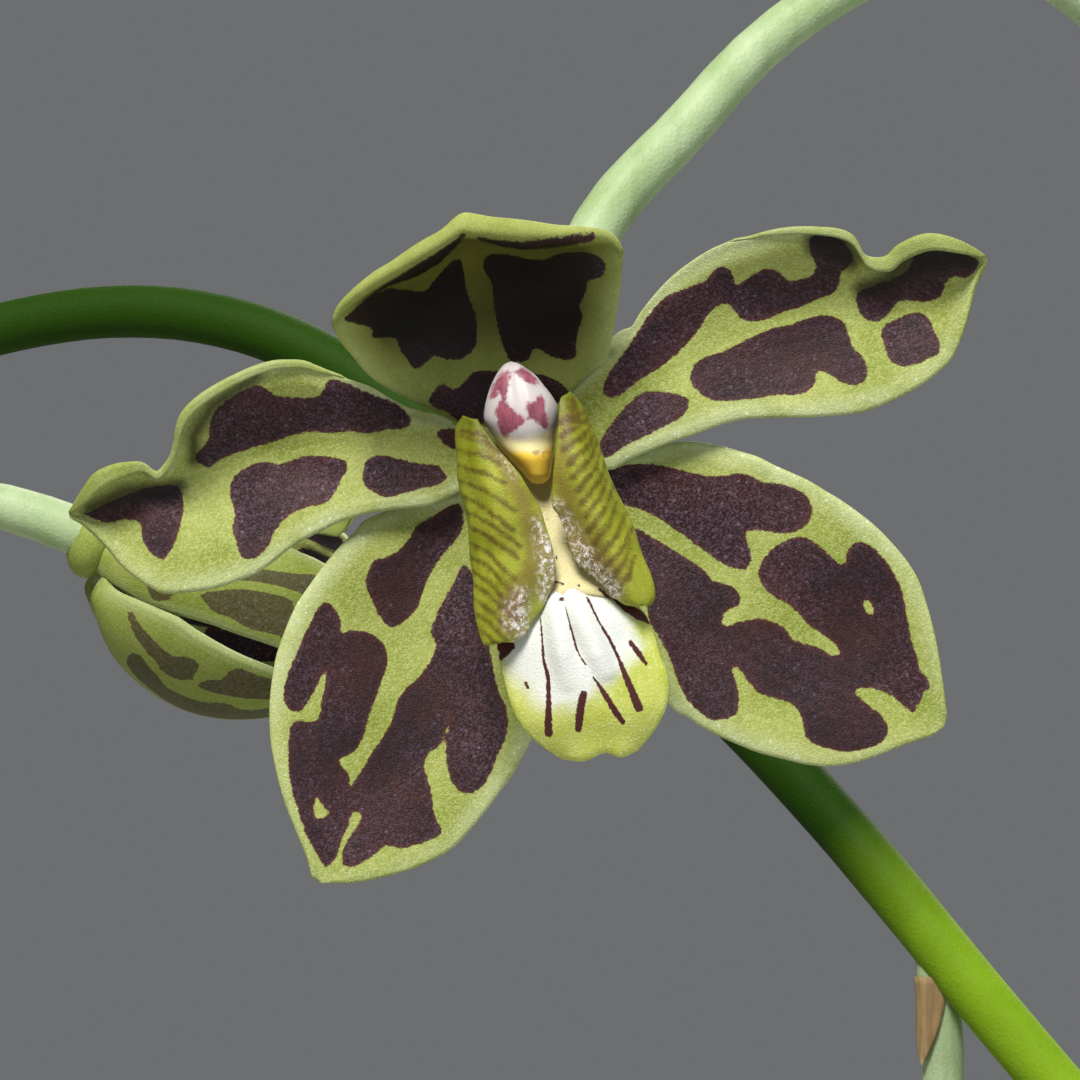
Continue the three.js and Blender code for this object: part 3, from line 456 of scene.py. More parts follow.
# Outlines are given as they are seen from the camera, x and z, with how far back each lies at even
# steps along it. Where a margin rolls forward, roll is how wide the rolled band is.
tepals = {
    "petalLeft": {
        "upper": [
            (-2.0, 1.0), (-3.6, 0.75), (-5, 0.8), (-5.5, 1.2), (-6.4, 1.6), (-7.2, 1.8), (-8, 2.0), (-9, 2.5),
            (-10, 3.1), (-11, 3.5), (-12.3, 4.0), (-13.3, 4.4), (-14.2, 4.75), (-15.2, 4.8), (-16, 4.75),
            (-17, 4.5), (-18, 4.1), (-19, 3.6), (-20, 3.0), (-20.9, 2.3), (-21.5, 1.6), (-21.8, 0.8),
            (-21.9, 0), (-22.1, -0.8), (-22.4, -1.3), (-23, -1.85), (-23.8, -1.3), (-24.5, -1.25),
            (-25.5, -1.4), (-26.6, -1.9), (-27.3, -2.8), (-28.3, -4.4),
        ],
        "upperBack": [1.7, 0.5, -0.2, -0.9, -1.6, -2.2, -2.2, -0.9, -2.0, -0.6],
        "mid": [
            (-1.8, -0.4), (-4.8, -1.1), (-8.9, -0.6), (-12.8, -0.4), (-16.4, -1.0), (-19.5, -2.0),
            (-21.7, -2.9), (-23.6, -3.6), (-26.1, -4.2), (-28.4, -4.5),
        ],
        "midBack": [2.2, 1.0, 0.8, 0.9, 1.0, 0.9, 0.7, 0.4, -0.1, -0.6],
        "lower": [
            (-2.0, -2.0), (-3.6, -2.6), (-5, -3.2), (-6.5, -3.9), (-8, -4.1), (-9, -4.2), (-10.2, -4.4),
            (-11, -4.6), (-12, -4.9), (-13, -5.4), (-14, -5.9), (-15, -6.5), (-16, -7.3), (-17, -8.0),
            (-18, -8.4), (-19.5, -8.9), (-21, -9.1), (-22.5, -9.2), (-23.2, -8.9), (-24, -8.4), (-25, -7.6),
            (-26, -6.4), (-26.8, -5.6), (-27.5, -5.0), (-28.3, -4.6),
        ],
        "lowerBack": [1.7, 0.6, 0.3, 0.2, 0.0, -0.2, -0.4, -0.5, -0.6, -0.6],
        "roll": [0.05, 0.05, 0.05, 0.12, 0.25, 0.35, 0.38, 0.38, 0.32, 0.8, 0.1],
        "flip": False,
        "shade": [
            [(-17.0, 3.9, 0.12), (-19.6, 2.2, 0.2), (-20.9, 0.4, 0.2), (-20.8, -1.0, 0.3)],
            [(-27.0, -4.0, 0.3), (-24.8, -3.1, 0.5), (-22.8, -3.0, 0.55), (-21.7, -2.7, 0.3)],
        ],
        "marks": [
            [
                (-20.6, -1.2), (-20.7, -0.8), (-20.2, -0.2), (-19.9, 0.3), (-19.9, 1.0), (-19.6, 1.8),
                (-19.0, 2.4), (-18.2, 2.9), (-17.4, 3.3), (-16.9, 3.4), (-16.3, 3.1), (-15.8, 2.8),
                (-14.8, 2.7), (-13.8, 2.7), (-13.1, 2.9), (-12.8, 3.5), (-12.4, 3.7), (-11.5, 3.4),
                (-10.4, 2.9), (-9.3, 2.5), (-8.5, 2.1), (-7.9, 1.6), (-7.7, 1.1), (-8.2, 0.8), (-9.2, 0.7),
                (-10.2, 0.45), (-11.2, 0.6), (-12.5, 0.5), (-13.6, 0.6), (-14.6, 0.4), (-15.8, 0),
                (-17, -0.3), (-18.3, -0.7), (-19.2, -1.1), (-19.8, -1.6), (-20.3, -1.4),
            ],
            [
                (-18.5, -2.9), (-18.4, -2.4), (-18, -1.9), (-17.3, -1.5), (-16.5, -1.3), (-15.7, -1.5),
                (-15, -1.3), (-14.2, -1.0), (-13.3, -0.95), (-12.2, -1.1), (-11.6, -1.3), (-11.5, -1.9),
                (-11.9, -2.6), (-12.3, -3.4), (-12.8, -3.9), (-13.8, -4.1), (-14.8, -4.5), (-15.4, -5.0),
                (-15.9, -5.7), (-16.3, -6.5), (-16.9, -7.1), (-17.6, -7.2), (-18.0, -6.8), (-18.2, -6.0),
                (-18.4, -5.4), (-18.2, -4.7), (-18.3, -4.1), (-18.5, -3.5),
            ],
            [
                (-10.6, -2.2), (-10.4, -1.4), (-9.9, -1.0), (-9.2, -1.0), (-8, -1.3), (-7, -1.5),
                (-6.1, -1.6), (-5.8, -2.0), (-5.6, -2.4), (-6.2, -2.8), (-7.2, -3.0), (-8.2, -3.3),
                (-9.2, -3.5), (-10, -3.2), (-10.5, -2.8),
            ],
            [
                (-27.5, -4.3), (-26.5, -4.9), (-25.8, -5.0), (-25, -4.8), (-24.2, -4.9), (-23.9, -5.2),
                (-23.8, -6.0), (-23.4, -6.7), (-22.9, -7.1), (-22.4, -7.1), (-21.9, -6.3), (-21.6, -5.3),
                (-21.4, -4.4), (-21.4, -3.5), (-21.6, -2.9), (-22.2, -2.6), (-23, -2.6), (-24, -2.8),
                (-25, -3.2), (-26, -3.7), (-27, -4.2),
            ],
            [(-6.2, 0.6), (-5.1, 0.7), (-4.6, 0.2), (-4.7, -0.5), (-5.6, -0.3)],
        ],
        "holes": [],
    },
    "petalRight": {
        "upper": [
            (1.0, 2.4), (2.6, 4.2), (4.3, 6.1), (5, 6.6), (5.5, 6.8), (6, 7.6), (6.7, 8.5), (7.5, 9.4),
            (8.4, 10.2), (9.5, 11.0), (10.5, 11.6), (11.5, 12.0), (12.5, 12.2), (13.5, 12.5), (14.5, 12.7),
            (15.5, 12.8), (16.5, 12.8), (17.5, 12.75), (18.2, 12.6), (18.7, 12.3), (19, 11.8), (19.3, 11.2),
            (19.7, 11.0), (20.3, 10.95), (20.8, 11.1), (21.3, 11.6), (22, 12.0), (22.8, 12.3),
            (23.5, 12.35), (24.3, 12.2), (25.2, 11.9), (26, 11.5), (26.9, 11.0),
        ],
        "upperBack": [1.7, 0.6, 0, -0.6, -1.3, -2.0, -2.0, -0.9, -2.0, -0.6],
        "mid": [
            (1.0, 0.8), (3.4, 1.8), (6.4, 3.5), (9.6, 5.2), (13.2, 6.9), (16.8, 7.9), (19.2, 8.0),
            (21.2, 7.8), (24.2, 8.7), (26.9, 10.9),
        ],
        "midBack": [2.2, 1.0, 0.8, 0.9, 1.0, 0.9, 0.7, 0.5, 0, -0.6],
        "lower": [
            (1.2, -1.0), (2.8, -1.4), (4.2, -1.8), (5, -1.4), (6, -0.9), (7, -0.5), (8, -0.1), (9, 0.2),
            (10, 0.6), (11, 0.95), (12, 1.2), (13, 1.3), (14.5, 1.35), (16, 1.35), (17.5, 1.45), (19, 1.6),
            (20, 1.9), (21, 2.3), (22, 2.8), (23, 3.4), (24, 4.2), (24.6, 4.8), (25.1, 5.8), (25.5, 6.9),
            (25.8, 8.0), (26.0, 8.9), (26.3, 9.7), (26.6, 10.4), (26.9, 10.8),
        ],
        "lowerBack": [1.7, 0.6, 0.3, 0.2, 0, -0.2, -0.4, -0.5, -0.6, -0.6],
        "roll": [0.05, 0.05, 0.05, 0.08, 0.12, 0.18, 0.28, 0.45, 0.7, 0.7, 0.1],
        "flip": True,
        "shade": [
            [(16.4, 11.9, 0.4), (17.2, 11.8, 0.6), (18.0, 11.6, 0.6), (18.7, 10.9, 0.35)],
            [
                (19.3, 9.2, 0.4), (20.7, 9.5, 0.5), (21.8, 10.4, 0.6), (23.2, 11.0, 0.65), (24.9, 11.0, 0.4),
                (25.9, 10.8, 0.2),
            ],
        ],
        "marks": [
            [
                (3.8, 3.0), (4.0, 3.8), (4.7, 4.9), (5.5, 6.0), (6.3, 7.3), (7.2, 8.4), (8, 8.9), (9, 9.3),
                (9.9, 9.7), (10.5, 10.4), (11, 10.5), (11.5, 10.1), (11.7, 9.4), (12.3, 9.7), (13, 10.2),
                (13.8, 10.4), (14.4, 10.1), (14.9, 9.7), (15.7, 9.8), (16.4, 10.2), (16.5, 10.8),
                (16.2, 11.4), (16.2, 12.2), (16.8, 12.4), (17.8, 12.2), (18.5, 11.6), (18.8, 11.0),
                (18.4, 10.6), (18, 10.2), (17.9, 9.5), (17.5, 8.9), (16.5, 8.5), (15.5, 8.0), (14.5, 7.7),
                (13.7, 7.3), (12.9, 7.1), (12, 7.3), (11.6, 7.8), (11.2, 8.2), (10.5, 8.0), (10, 7.5),
                (9.5, 6.7), (8.8, 5.8), (8, 5.0), (7, 4.2), (6, 3.6), (5, 2.8), (4.2, 2.5),
            ],
            [
                (9.0, 3.7), (9.2, 4.4), (9.8, 4.9), (10.8, 5.2), (12, 5.8), (13, 6.3), (14, 6.7), (15, 6.9),
                (16, 7.3), (17, 7.5), (17.8, 7.3), (18.3, 6.9), (18.5, 6.2), (18.8, 5.4), (19.3, 4.9),
                (19.6, 4.2), (19.5, 3.5), (18.9, 3.2), (18.2, 3.3), (17.4, 3.8), (16.9, 4.0), (16.6, 3.9),
                (16.5, 3.3), (16, 2.8), (15.3, 2.6), (14.3, 2.6), (13, 2.4), (11.5, 2.25), (10.3, 2.3),
                (9.5, 2.8), (9.1, 3.3),
            ],
            [
                (3.7, -0.9), (3.7, -0.2), (4.1, 0.5), (4.7, 1.4), (5.4, 2.2), (6.2, 2.8), (7, 2.85), (8, 2.7),
                (8.8, 2.4), (8.9, 1.9), (8.5, 1.3), (7.8, 0.9), (7, 0.5), (6, 0), (5.2, -0.4), (4.5, -0.9),
                (4, -1.1),
            ],
            [
                (18.9, 8.4), (19.0, 8.9), (19.6, 9.3), (20.5, 9.6), (21.4, 9.9), (22, 10.3), (22.3, 10.9),
                (22.6, 11.4), (23.5, 11.55), (24.5, 11.5), (25.5, 11.2), (26.2, 10.8), (26, 10.2),
                (25.5, 9.8), (24.8, 9.9), (24.3, 9.5), (24.1, 8.8), (23.6, 8.4), (22.8, 8.3), (22, 8.4),
                (21.3, 8.2), (20.9, 7.6), (20.3, 7.1), (19.6, 7.1), (19.1, 7.7),
            ],
            [
                (20.4, 6.2), (20.6, 6.8), (21.3, 7.2), (22, 7.5), (22.8, 7.6), (23.4, 7.1), (23.7, 6.4),
                (24, 5.8), (23.9, 5.1), (23.3, 4.8), (22.7, 4.5), (21.9, 4.3), (21.2, 4.5), (20.8, 5.0),
                (20.6, 5.7),
            ],
        ],
        "holes": [],
    },
    "sepalLeft": {
        "upper": [
            (-2.6, -2.2), (-4.5, -3.0), (-7.5, -3.7), (-10.3, -4.7), (-11, -5.4), (-12, -6.4), (-13, -7.6),
            (-13.8, -8.7), (-14.6, -9.9), (-15.3, -11.5), (-15.8, -13), (-16.1, -14.8), (-16.2, -16.5),
            (-16.1, -18.3), (-15.7, -20.3), (-15.2, -22), (-14.6, -23.5), (-14, -25), (-13.6, -26.45),
        ],
        "upperBack": [1.5, 1.7, 1.4, 1.0, 0.5, 0.2, 0.05, 0],
        "mid": [
            (-2.4, -3.6), (-5.2, -6.8), (-7.2, -10.0), (-8.8, -13.4), (-10.2, -17.0), (-11.4, -20.6),
            (-12.4, -23.8), (-13.5, -26.5),
        ],
        "midBack": [2.2, 2.2, 1.9, 1.6, 1.2, 0.9, 0.5, 0],
        "lower": [
            (-1.2, -4.2), (-0.2, -8.2), (0.4, -12.4), (0.3, -15.8), (-0.6, -18.1), (-1, -18.9), (-1.6, -20),
            (-2.4, -21.1), (-3.3, -22.3), (-4.3, -23.5), (-5.3, -24.5), (-6.5, -25.2), (-8, -25.8),
            (-9.5, -26.2), (-11, -26.5), (-12.5, -26.55), (-13.4, -26.55),
        ],
        "lowerBack": [1.7, 1.8, 1.5, 1.2, 0.9, 0.5, 0.2, 0],
        "roll": [0, 0],
        "flip": False,
        "shade": [],
        "marks": [
            [
                (-10.5, -8.5), (-10.3, -7.8), (-10, -7.2), (-9.2, -7.0), (-8.5, -6.6), (-7.9, -5.9),
                (-7.3, -5), (-6.6, -4.6), (-5.8, -4.1), (-5, -3.7), (-4.7, -4), (-4.6, -5), (-4.9, -5.8),
                (-5.6, -6.6), (-6.2, -7.4), (-6.7, -8.3), (-7, -9.1), (-7.3, -10), (-7.9, -10.7),
                (-8.6, -11.2), (-9.2, -11.1), (-9.7, -10.5), (-10, -9.8), (-10.3, -9.2),
            ],
            [
                (-12.6, -9.8), (-13.2, -9.9), (-13.7, -10.8), (-14.3, -12), (-14.8, -13.2), (-15.2, -14.2),
                (-15.4, -15.1), (-15.3, -15.9), (-14.8, -16.3), (-14.2, -16.1), (-13.8, -15.5),
                (-13.4, -14.8), (-12.85, -13.7), (-12.9, -14.8), (-13.1, -15.7), (-13.3, -16.7), (-14, -16.9),
                (-14.6, -16.8), (-15, -17.3), (-15.1, -18.2), (-15.1, -19.5), (-14.9, -21), (-14.5, -22.3),
                (-14.1, -23.5), (-13.6, -24.5), (-13.1, -25.3), (-12.8, -25.6), (-12.2, -25.0),
                (-11.9, -24), (-11.5, -23.2), (-11.2, -22.3), (-10.7, -22.5), (-10.9, -23.1), (-11.4, -23.8),
                (-11.8, -24.6), (-11.8, -25.4), (-11.3, -25.6), (-10.5, -25.3), (-9.7, -24.7), (-9.2, -24.3),
                (-8.3, -24.5), (-7.5, -24.3), (-6.6, -24), (-5.9, -23.6), (-5.9, -23.3), (-6.3, -22.6),
                (-6.4, -21.7), (-6.6, -20.6), (-6.9, -19.6), (-6.7, -18.9), (-6.1, -18.4), (-5.7, -17.8),
                (-5.4, -16.4), (-5.6, -18.2), (-5.6, -19.2), (-5.4, -20.2), (-5, -20.9), (-4.4, -21.2),
                (-3.7, -21), (-3.2, -20.4), (-2.8, -19.6), (-2.5, -18.8), (-2.1, -18), (-1.9, -17), (-2, -16),
                (-2.5, -15), (-3.0, -12.5), (-3.4, -10), (-3.9, -8.2), (-4.6, -7.5), (-5, -8.3), (-5.4, -9),
                (-5.9, -9.9), (-6.3, -10.8), (-6.5, -11.6), (-6.2, -12.2), (-6.3, -12.7), (-6.7, -13.5),
                (-7.3, -14.3), (-7.9, -14.8), (-8.4, -15.4), (-8.7, -16.2), (-9, -17.1), (-9.5, -17.9),
                (-10, -18.6), (-10.4, -19.3), (-10.9, -20.1), (-11.4, -20.8), (-11.4, -20.2), (-11.7, -19.7),
                (-12.1, -19.2), (-11.5, -18.9), (-10.9, -18.4), (-10.5, -17.5), (-10.3, -16.6), (-9.9, -15.6),
                (-9.6, -14.7), (-9.2, -13.6), (-9.2, -12.6), (-9.7, -11.9), (-10.5, -11.5), (-11.5, -11.4),
                (-12, -11.6), (-12, -10.8),
            ],
        ],
        "holes": [[(-13.5, -21.4), (-13, -22), (-12.7, -22.4), (-13.5, -22.7)]],
    },
    "sepalRight": {
        "upper": [
            (2.4, -1.9), (4.1, -1.8), (5, -1.2), (6, -0.8), (7, -0.4), (8, -0.15), (9, -0.1), (10, -0.2),
            (11, -0.4), (12, -0.7), (13, -1.0), (14, -1.5), (15, -1.95), (16, -2.4), (17, -3.0), (18, -3.6),
            (19, -4.3), (20, -5.1), (21, -6.1), (22, -7.3), (22.7, -8.5), (23.2, -10), (23.6, -11.5),
            (23.9, -13), (24.2, -15), (24.4, -16.7),
        ],
        "upperBack": [1.5, 1.7, 1.4, 1.0, 0.5, 0.2, 0.05, 0],
        "mid": [
            (2.4, -3.2), (5.6, -4.8), (8.8, -6.8), (12.0, -9.2), (15.2, -11.2), (18.4, -13.2), (21.6, -15.2),
            (24.5, -16.8),
        ],
        "midBack": [2.2, 2.2, 1.9, 1.6, 1.2, 0.9, 0.5, 0],
        "lower": [
            (1.8, -4.4), (4.4, -8.2), (5.9, -12.0), (7.7, -15.8), (8.8, -16.6), (10, -17.4), (11.5, -18.1),
            (13, -18.7), (14.5, -19.1), (16, -19.45), (17.5, -19.55), (19, -19.3), (20.5, -18.8), (22, -18.2),
            (23.5, -17.7), (24.4, -16.95),
        ],
        "lowerBack": [1.7, 1.8, 1.5, 1.2, 0.9, 0.5, 0.2, 0],
        "roll": [0, 0],
        "flip": True,
        "shade": [],
        "marks": [
            [
                (4, -1.9), (4.6, -1.6), (5.5, -1.4), (6.5, -1.4), (7.5, -1.55), (8.5, -1.8), (9.5, -2.05),
                (10.5, -2.15), (11.3, -2.1), (12, -2.0), (12.7, -2.2), (13.3, -2.5), (14.2, -2.6),
                (15, -2.8), (15.8, -3.2), (16.2, -3.7), (16.35, -4.4), (16.1, -5), (15.6, -5.4),
                (14.8, -5.6), (13.8, -5.5), (13, -5.4), (12.4, -5.5), (12.4, -6), (12.6, -6.5),
                (12.7, -7.1), (12.5, -7.6), (12.1, -7.8), (11.4, -7.6), (10.6, -7.2), (9.8, -6.6), (9, -6),
                (8, -5.3), (7, -4.6), (6, -4.1), (5, -3.8), (4.5, -3.0),
            ],
            [
                (5.7, -5.3), (6.5, -5.7), (7.5, -6.3), (8.5, -6.9), (9.4, -7.5), (10, -8), (10.3, -8.4),
                (11, -8.6), (11.7, -8.9), (12, -9.4), (11.9, -9.9), (11.3, -10.2), (10.9, -10.7),
                (11.1, -11.2), (11.6, -11.0), (12.4, -10.8), (13.2, -10.7), (14, -10.9), (14.7, -11.3),
                (15.1, -11.9), (15.6, -12.1), (16.2, -12.3), (16.8, -12.5), (17.4, -12.9), (18, -12.8),
                (17.5, -12.1), (16.8, -11.6), (16.1, -11.1), (15.6, -10.5), (15, -9.9), (14.3, -9.5),
                (13.6, -9), (13.2, -8.4), (13.1, -7.9), (13.4, -7.2), (14, -6.5), (14.8, -6.0),
                (15.5, -5.8), (16.2, -5.95), (16.8, -6.4), (17.4, -6.9), (18, -7.4), (18.3, -7.3),
                (18.4, -6.7), (18.8, -6.2), (19.3, -6.1), (20, -6.5), (20.6, -7.1), (21.2, -7.9),
                (21.7, -9), (21.9, -10), (22.1, -11), (22.3, -12), (22.6, -13), (22.8, -13.8),
                (23.2, -14.2), (23.35, -14.8), (23, -15.1), (22.9, -15.5), (22.6, -15.9), (22.4, -16.4),
                (22, -16.1), (21.5, -15.7), (20.8, -15.2), (20, -14.95), (19.3, -14.9), (18.9, -15.1),
                (19.2, -15.5), (19.8, -16), (20.4, -16.5), (20.8, -17.1), (20.8, -17.7), (20.2, -18.3),
                (19.2, -18.6), (18.2, -18.7), (17.2, -18.5), (16.4, -18.2), (15.9, -17.8), (15.8, -17.1),
                (15.6, -16.5), (15.2, -15.9), (14.5, -15.6), (13.7, -15.4), (13, -15.1), (12.4, -14.4),
                (11.9, -13.7), (11.5, -13.7), (11.6, -14.1), (11.8, -14.8), (11.9, -15.6), (11.8, -16.4),
                (11.2, -16.7), (10.3, -16.8), (9.5, -16.3), (8.7, -15.4), (8.2, -14.4), (7.8, -13.2),
                (7.2, -12), (6.6, -11), (6.3, -9.5), (6.0, -8), (5.4, -6.4),
            ],
        ],
        "holes": [[(19.4, -9.6), (19.8, -9.7), (20, -10.2), (19.8, -10.5), (19.5, -10.2)]],
    },
}

# the upper sepal is a hood: rows from its foot up to the fold and out to its upturned rim
hood = {
    "rows": [
        [(-3.6, 0.4), (-0.8, 0.2), (2.2, 1.2)],
        [(-9.3, 3.2), (-3.0, 3.2), (3.9, 4.5)],
        [(-11.4, 5.2), (-3.0, 6.4), (4.35, 6.4)],
        [(-12.25, 6.4), (-3.6, 9.3), (4.8, 9.2)],
        [
            (-12.35, 6.85), (-11.9, 7.5), (-10.5, 8.7), (-9.3, 9.4), (-8, 9.9), (-7, 10.4), (-6, 10.9),
            (-5, 11.5), (-4.5, 11.8), (-3, 11.65), (-1, 11.3), (0, 11.3), (1, 11.5), (3.6, 11.6),
            (4.95, 11.0),
        ],
        [
            (-12.38, 7.0), (-11.9, 7.9), (-10.5, 9.0), (-9, 9.9), (-8, 10.4), (-7, 11.0), (-6, 11.6),
            (-5, 12.25), (-4.5, 12.4), (-4, 12.3), (-3, 12.25), (-1.5, 12.1), (0, 12.1), (1.5, 12.15),
            (3.1, 12.2), (4.2, 12.0), (4.95, 11.2),
        ],
        [
            (-12.4, 7.1), (-12.1, 7.9), (-11.3, 8.9), (-10, 10.0), (-9, 10.6), (-8, 11.3), (-7, 11.95),
            (-6, 12.5), (-5.3, 13.1), (-4.9, 13.45), (-4.5, 13.6), (-3.8, 13.5), (-3, 13.35), (-2, 13.25),
            (-1, 13.15), (0, 13.0), (1, 12.85), (2, 12.8), (3, 12.7), (3.8, 12.55), (4.4, 12.2), (4.95, 11.4),
        ],
    ],
    "back": [
        [2.2, 2.4, 2.2],
        [0.0, 1.9, 0.6],
        [-1.9, 1.3, -1.0],
        [-3.6, -0.7, -2.6],
        [-4.9, -5.0, -4.0],
        [-5.8, -9.2, -5.0],
        [-5.7, -8.9, -4.8],
    ],
    "marks": [
        [
            (-11.9, 7.4), (-11.3, 8.0), (-10.5, 8.7), (-9.7, 9.1), (-9, 9.3), (-8, 9.15), (-7, 9.1),
            (-6.4, 9.8), (-5.8, 10.5), (-5.2, 11.0), (-4.8, 10.9), (-4.6, 10), (-4.4, 9), (-4, 8), (-3.8, 7),
            (-3.8, 6.2), (-4, 5.5), (-4.6, 4.95), (-5.2, 4.8), (-6, 4.9), (-6.4, 5.1), (-6.9, 4.7),
            (-7.4, 4.3), (-7.8, 4.4), (-8.2, 5.0), (-8.6, 5.6), (-8.8, 6.2), (-9.8, 6.25), (-10.2, 6.3),
            (-10.3, 6.9), (-11, 7.1),
        ],
        [
            (-3.4, 10.5), (-3.2, 11.2), (-2.5, 11.35), (-1.5, 11.25), (-0.5, 11.05), (0.3, 11.05),
            (1, 11.4), (2, 11.55), (3, 11.45), (3.8, 11.0), (4, 10.4), (3.7, 9.9), (3.0, 9.7), (2.85, 9.0),
            (2.5, 8.2), (2.65, 7.4), (2.3, 6.4), (2.25, 5.5), (2.1, 5.0), (1.5, 4.95), (0.7, 5.2), (0, 5.6),
            (-0.3, 5.5), (-0.5, 5.0), (-1, 4.75), (-1.7, 4.8), (-2, 5.4), (-2.3, 6.3), (-2.6, 7.5),
            (-2.8, 8.6), (-2.9, 9.6),
        ],
        [
            (-6.8, 2.3), (-6.5, 2.9), (-5.9, 3.4), (-5.3, 3.0), (-4.6, 3.5), (-4, 4.1), (-3, 4.15), (-1, 4.1),
            (0.3, 4.0), (1.2, 3.6), (1.8, 3.0), (2.2, 2.5), (0, 1.6), (-4, 1.0), (-5, 1.2), (-5.4, 1.6),
            (-6.2, 1.9),
        ],
    ],
    "strips": [
        [
            (-10.6, 8.6, 0.05), (-9.3, 9.5, 0.1), (-7.6, 10.25, 0.3), (-6.3, 11.0, 0.3), (-5.2, 11.9, 0.16),
            (-4.5, 12.5, 0.1),
        ],
        [
            (-3.8, 12.25, 0.08), (-2.2, 11.95, 0.18), (-0.9, 11.85, 0.22), (0.6, 12.0, 0.22),
            (2.0, 12.15, 0.18), (3.1, 12.25, 0.1),
        ],
    ],
}

foldColumns = 10  # columns of a petal's grid that make its rolled margin
lensBack = 323.3  # from the camera to the heart of the front flower
lensLevel = -5.99  # the camera's level, seen from the heart


# where a point lies that is seen at x and z and lies so far back
def fromSeen(x, back, z):
    share = (lensBack + back) / lensBack
    return np.stack([x * share, back, lensLevel + (z - lensLevel) * share], axis=-1)


def asSeen(places):
    share = lensBack / (lensBack + places[..., 1])
    return np.stack([places[..., 0] * share, lensLevel + (places[..., 2] - lensLevel) * share], axis=-1)


def rail(seen, back, count=240):
    line = evenly(np.array(seen, float), count)
    depth = pickAt(np.array(back, float)[:, None], np.linspace(0, 1, count))[:, 0]
    return fromSeen(line[:, 0], depth, line[:, 1])


# a petal or side sepal as a grid: a margin rolled forward, then across to the other margin
def tepalGrid(plan, along, across):
    u = np.linspace(0, 0.992, along)
    upper, mid, lower = (pickAt(rail(plan[k], plan[k + "Back"]), u) for k in ("upper", "mid", "lower"))
    v = np.linspace(0, 1, across)
    if max(plan["roll"]) == 0:
        return pickAt(np.stack([upper, mid, lower]), v).transpose(1, 0, 2)
    roll = pickAt(np.array(plan["roll"], float)[:, None], u)
    turn = np.clip(roll * 0.35, 0.03, 0.2)
    inward = mid - upper
    inward[:, 1] = 0
    inward /= np.maximum(np.linalg.norm(inward, axis=1, keepdims=True), 0.3)
    ahead = np.array([0, -1.0, 0])
    core = upper + inward * (turn + 0.14)
    columns = [core + ahead * 2 * turn + inward * roll * t for t in (1.0, 0.6, 0.25)]
    for angle in np.linspace(math.pi, 0, foldColumns - 3):
        columns.append(core - inward * turn * math.sin(angle) + ahead * turn * (1 - math.cos(angle)))
    # where the margin hardly rolls it lies plain
    rolled = smoothStep((roll - 0.09) / 0.16)
    for k, column in enumerate(columns):
        plain = upper + (core - upper) * k / foldColumns
        columns[k] = plain + (column - plain) * rolled
    inner = pickAt(np.stack([core, mid, lower]), v[1:])
    return np.stack(columns + list(inner), axis=1)


def hoodGrid(plan, along, across):
    rows = np.stack([rail(seen, back) for seen, back in zip(plan["rows"], plan["back"])])
    v = np.linspace(0, 1, across)
    lines = np.stack([pickAt(row, v) for row in rows])
    # more rows where the hood turns over at its rim
    u = np.concatenate([
        np.linspace(0, 0.62, along // 2, endpoint=False), np.linspace(0.62, 1, along - along // 2)
    ])
    return pickAt(lines, u)[:, ::-1]


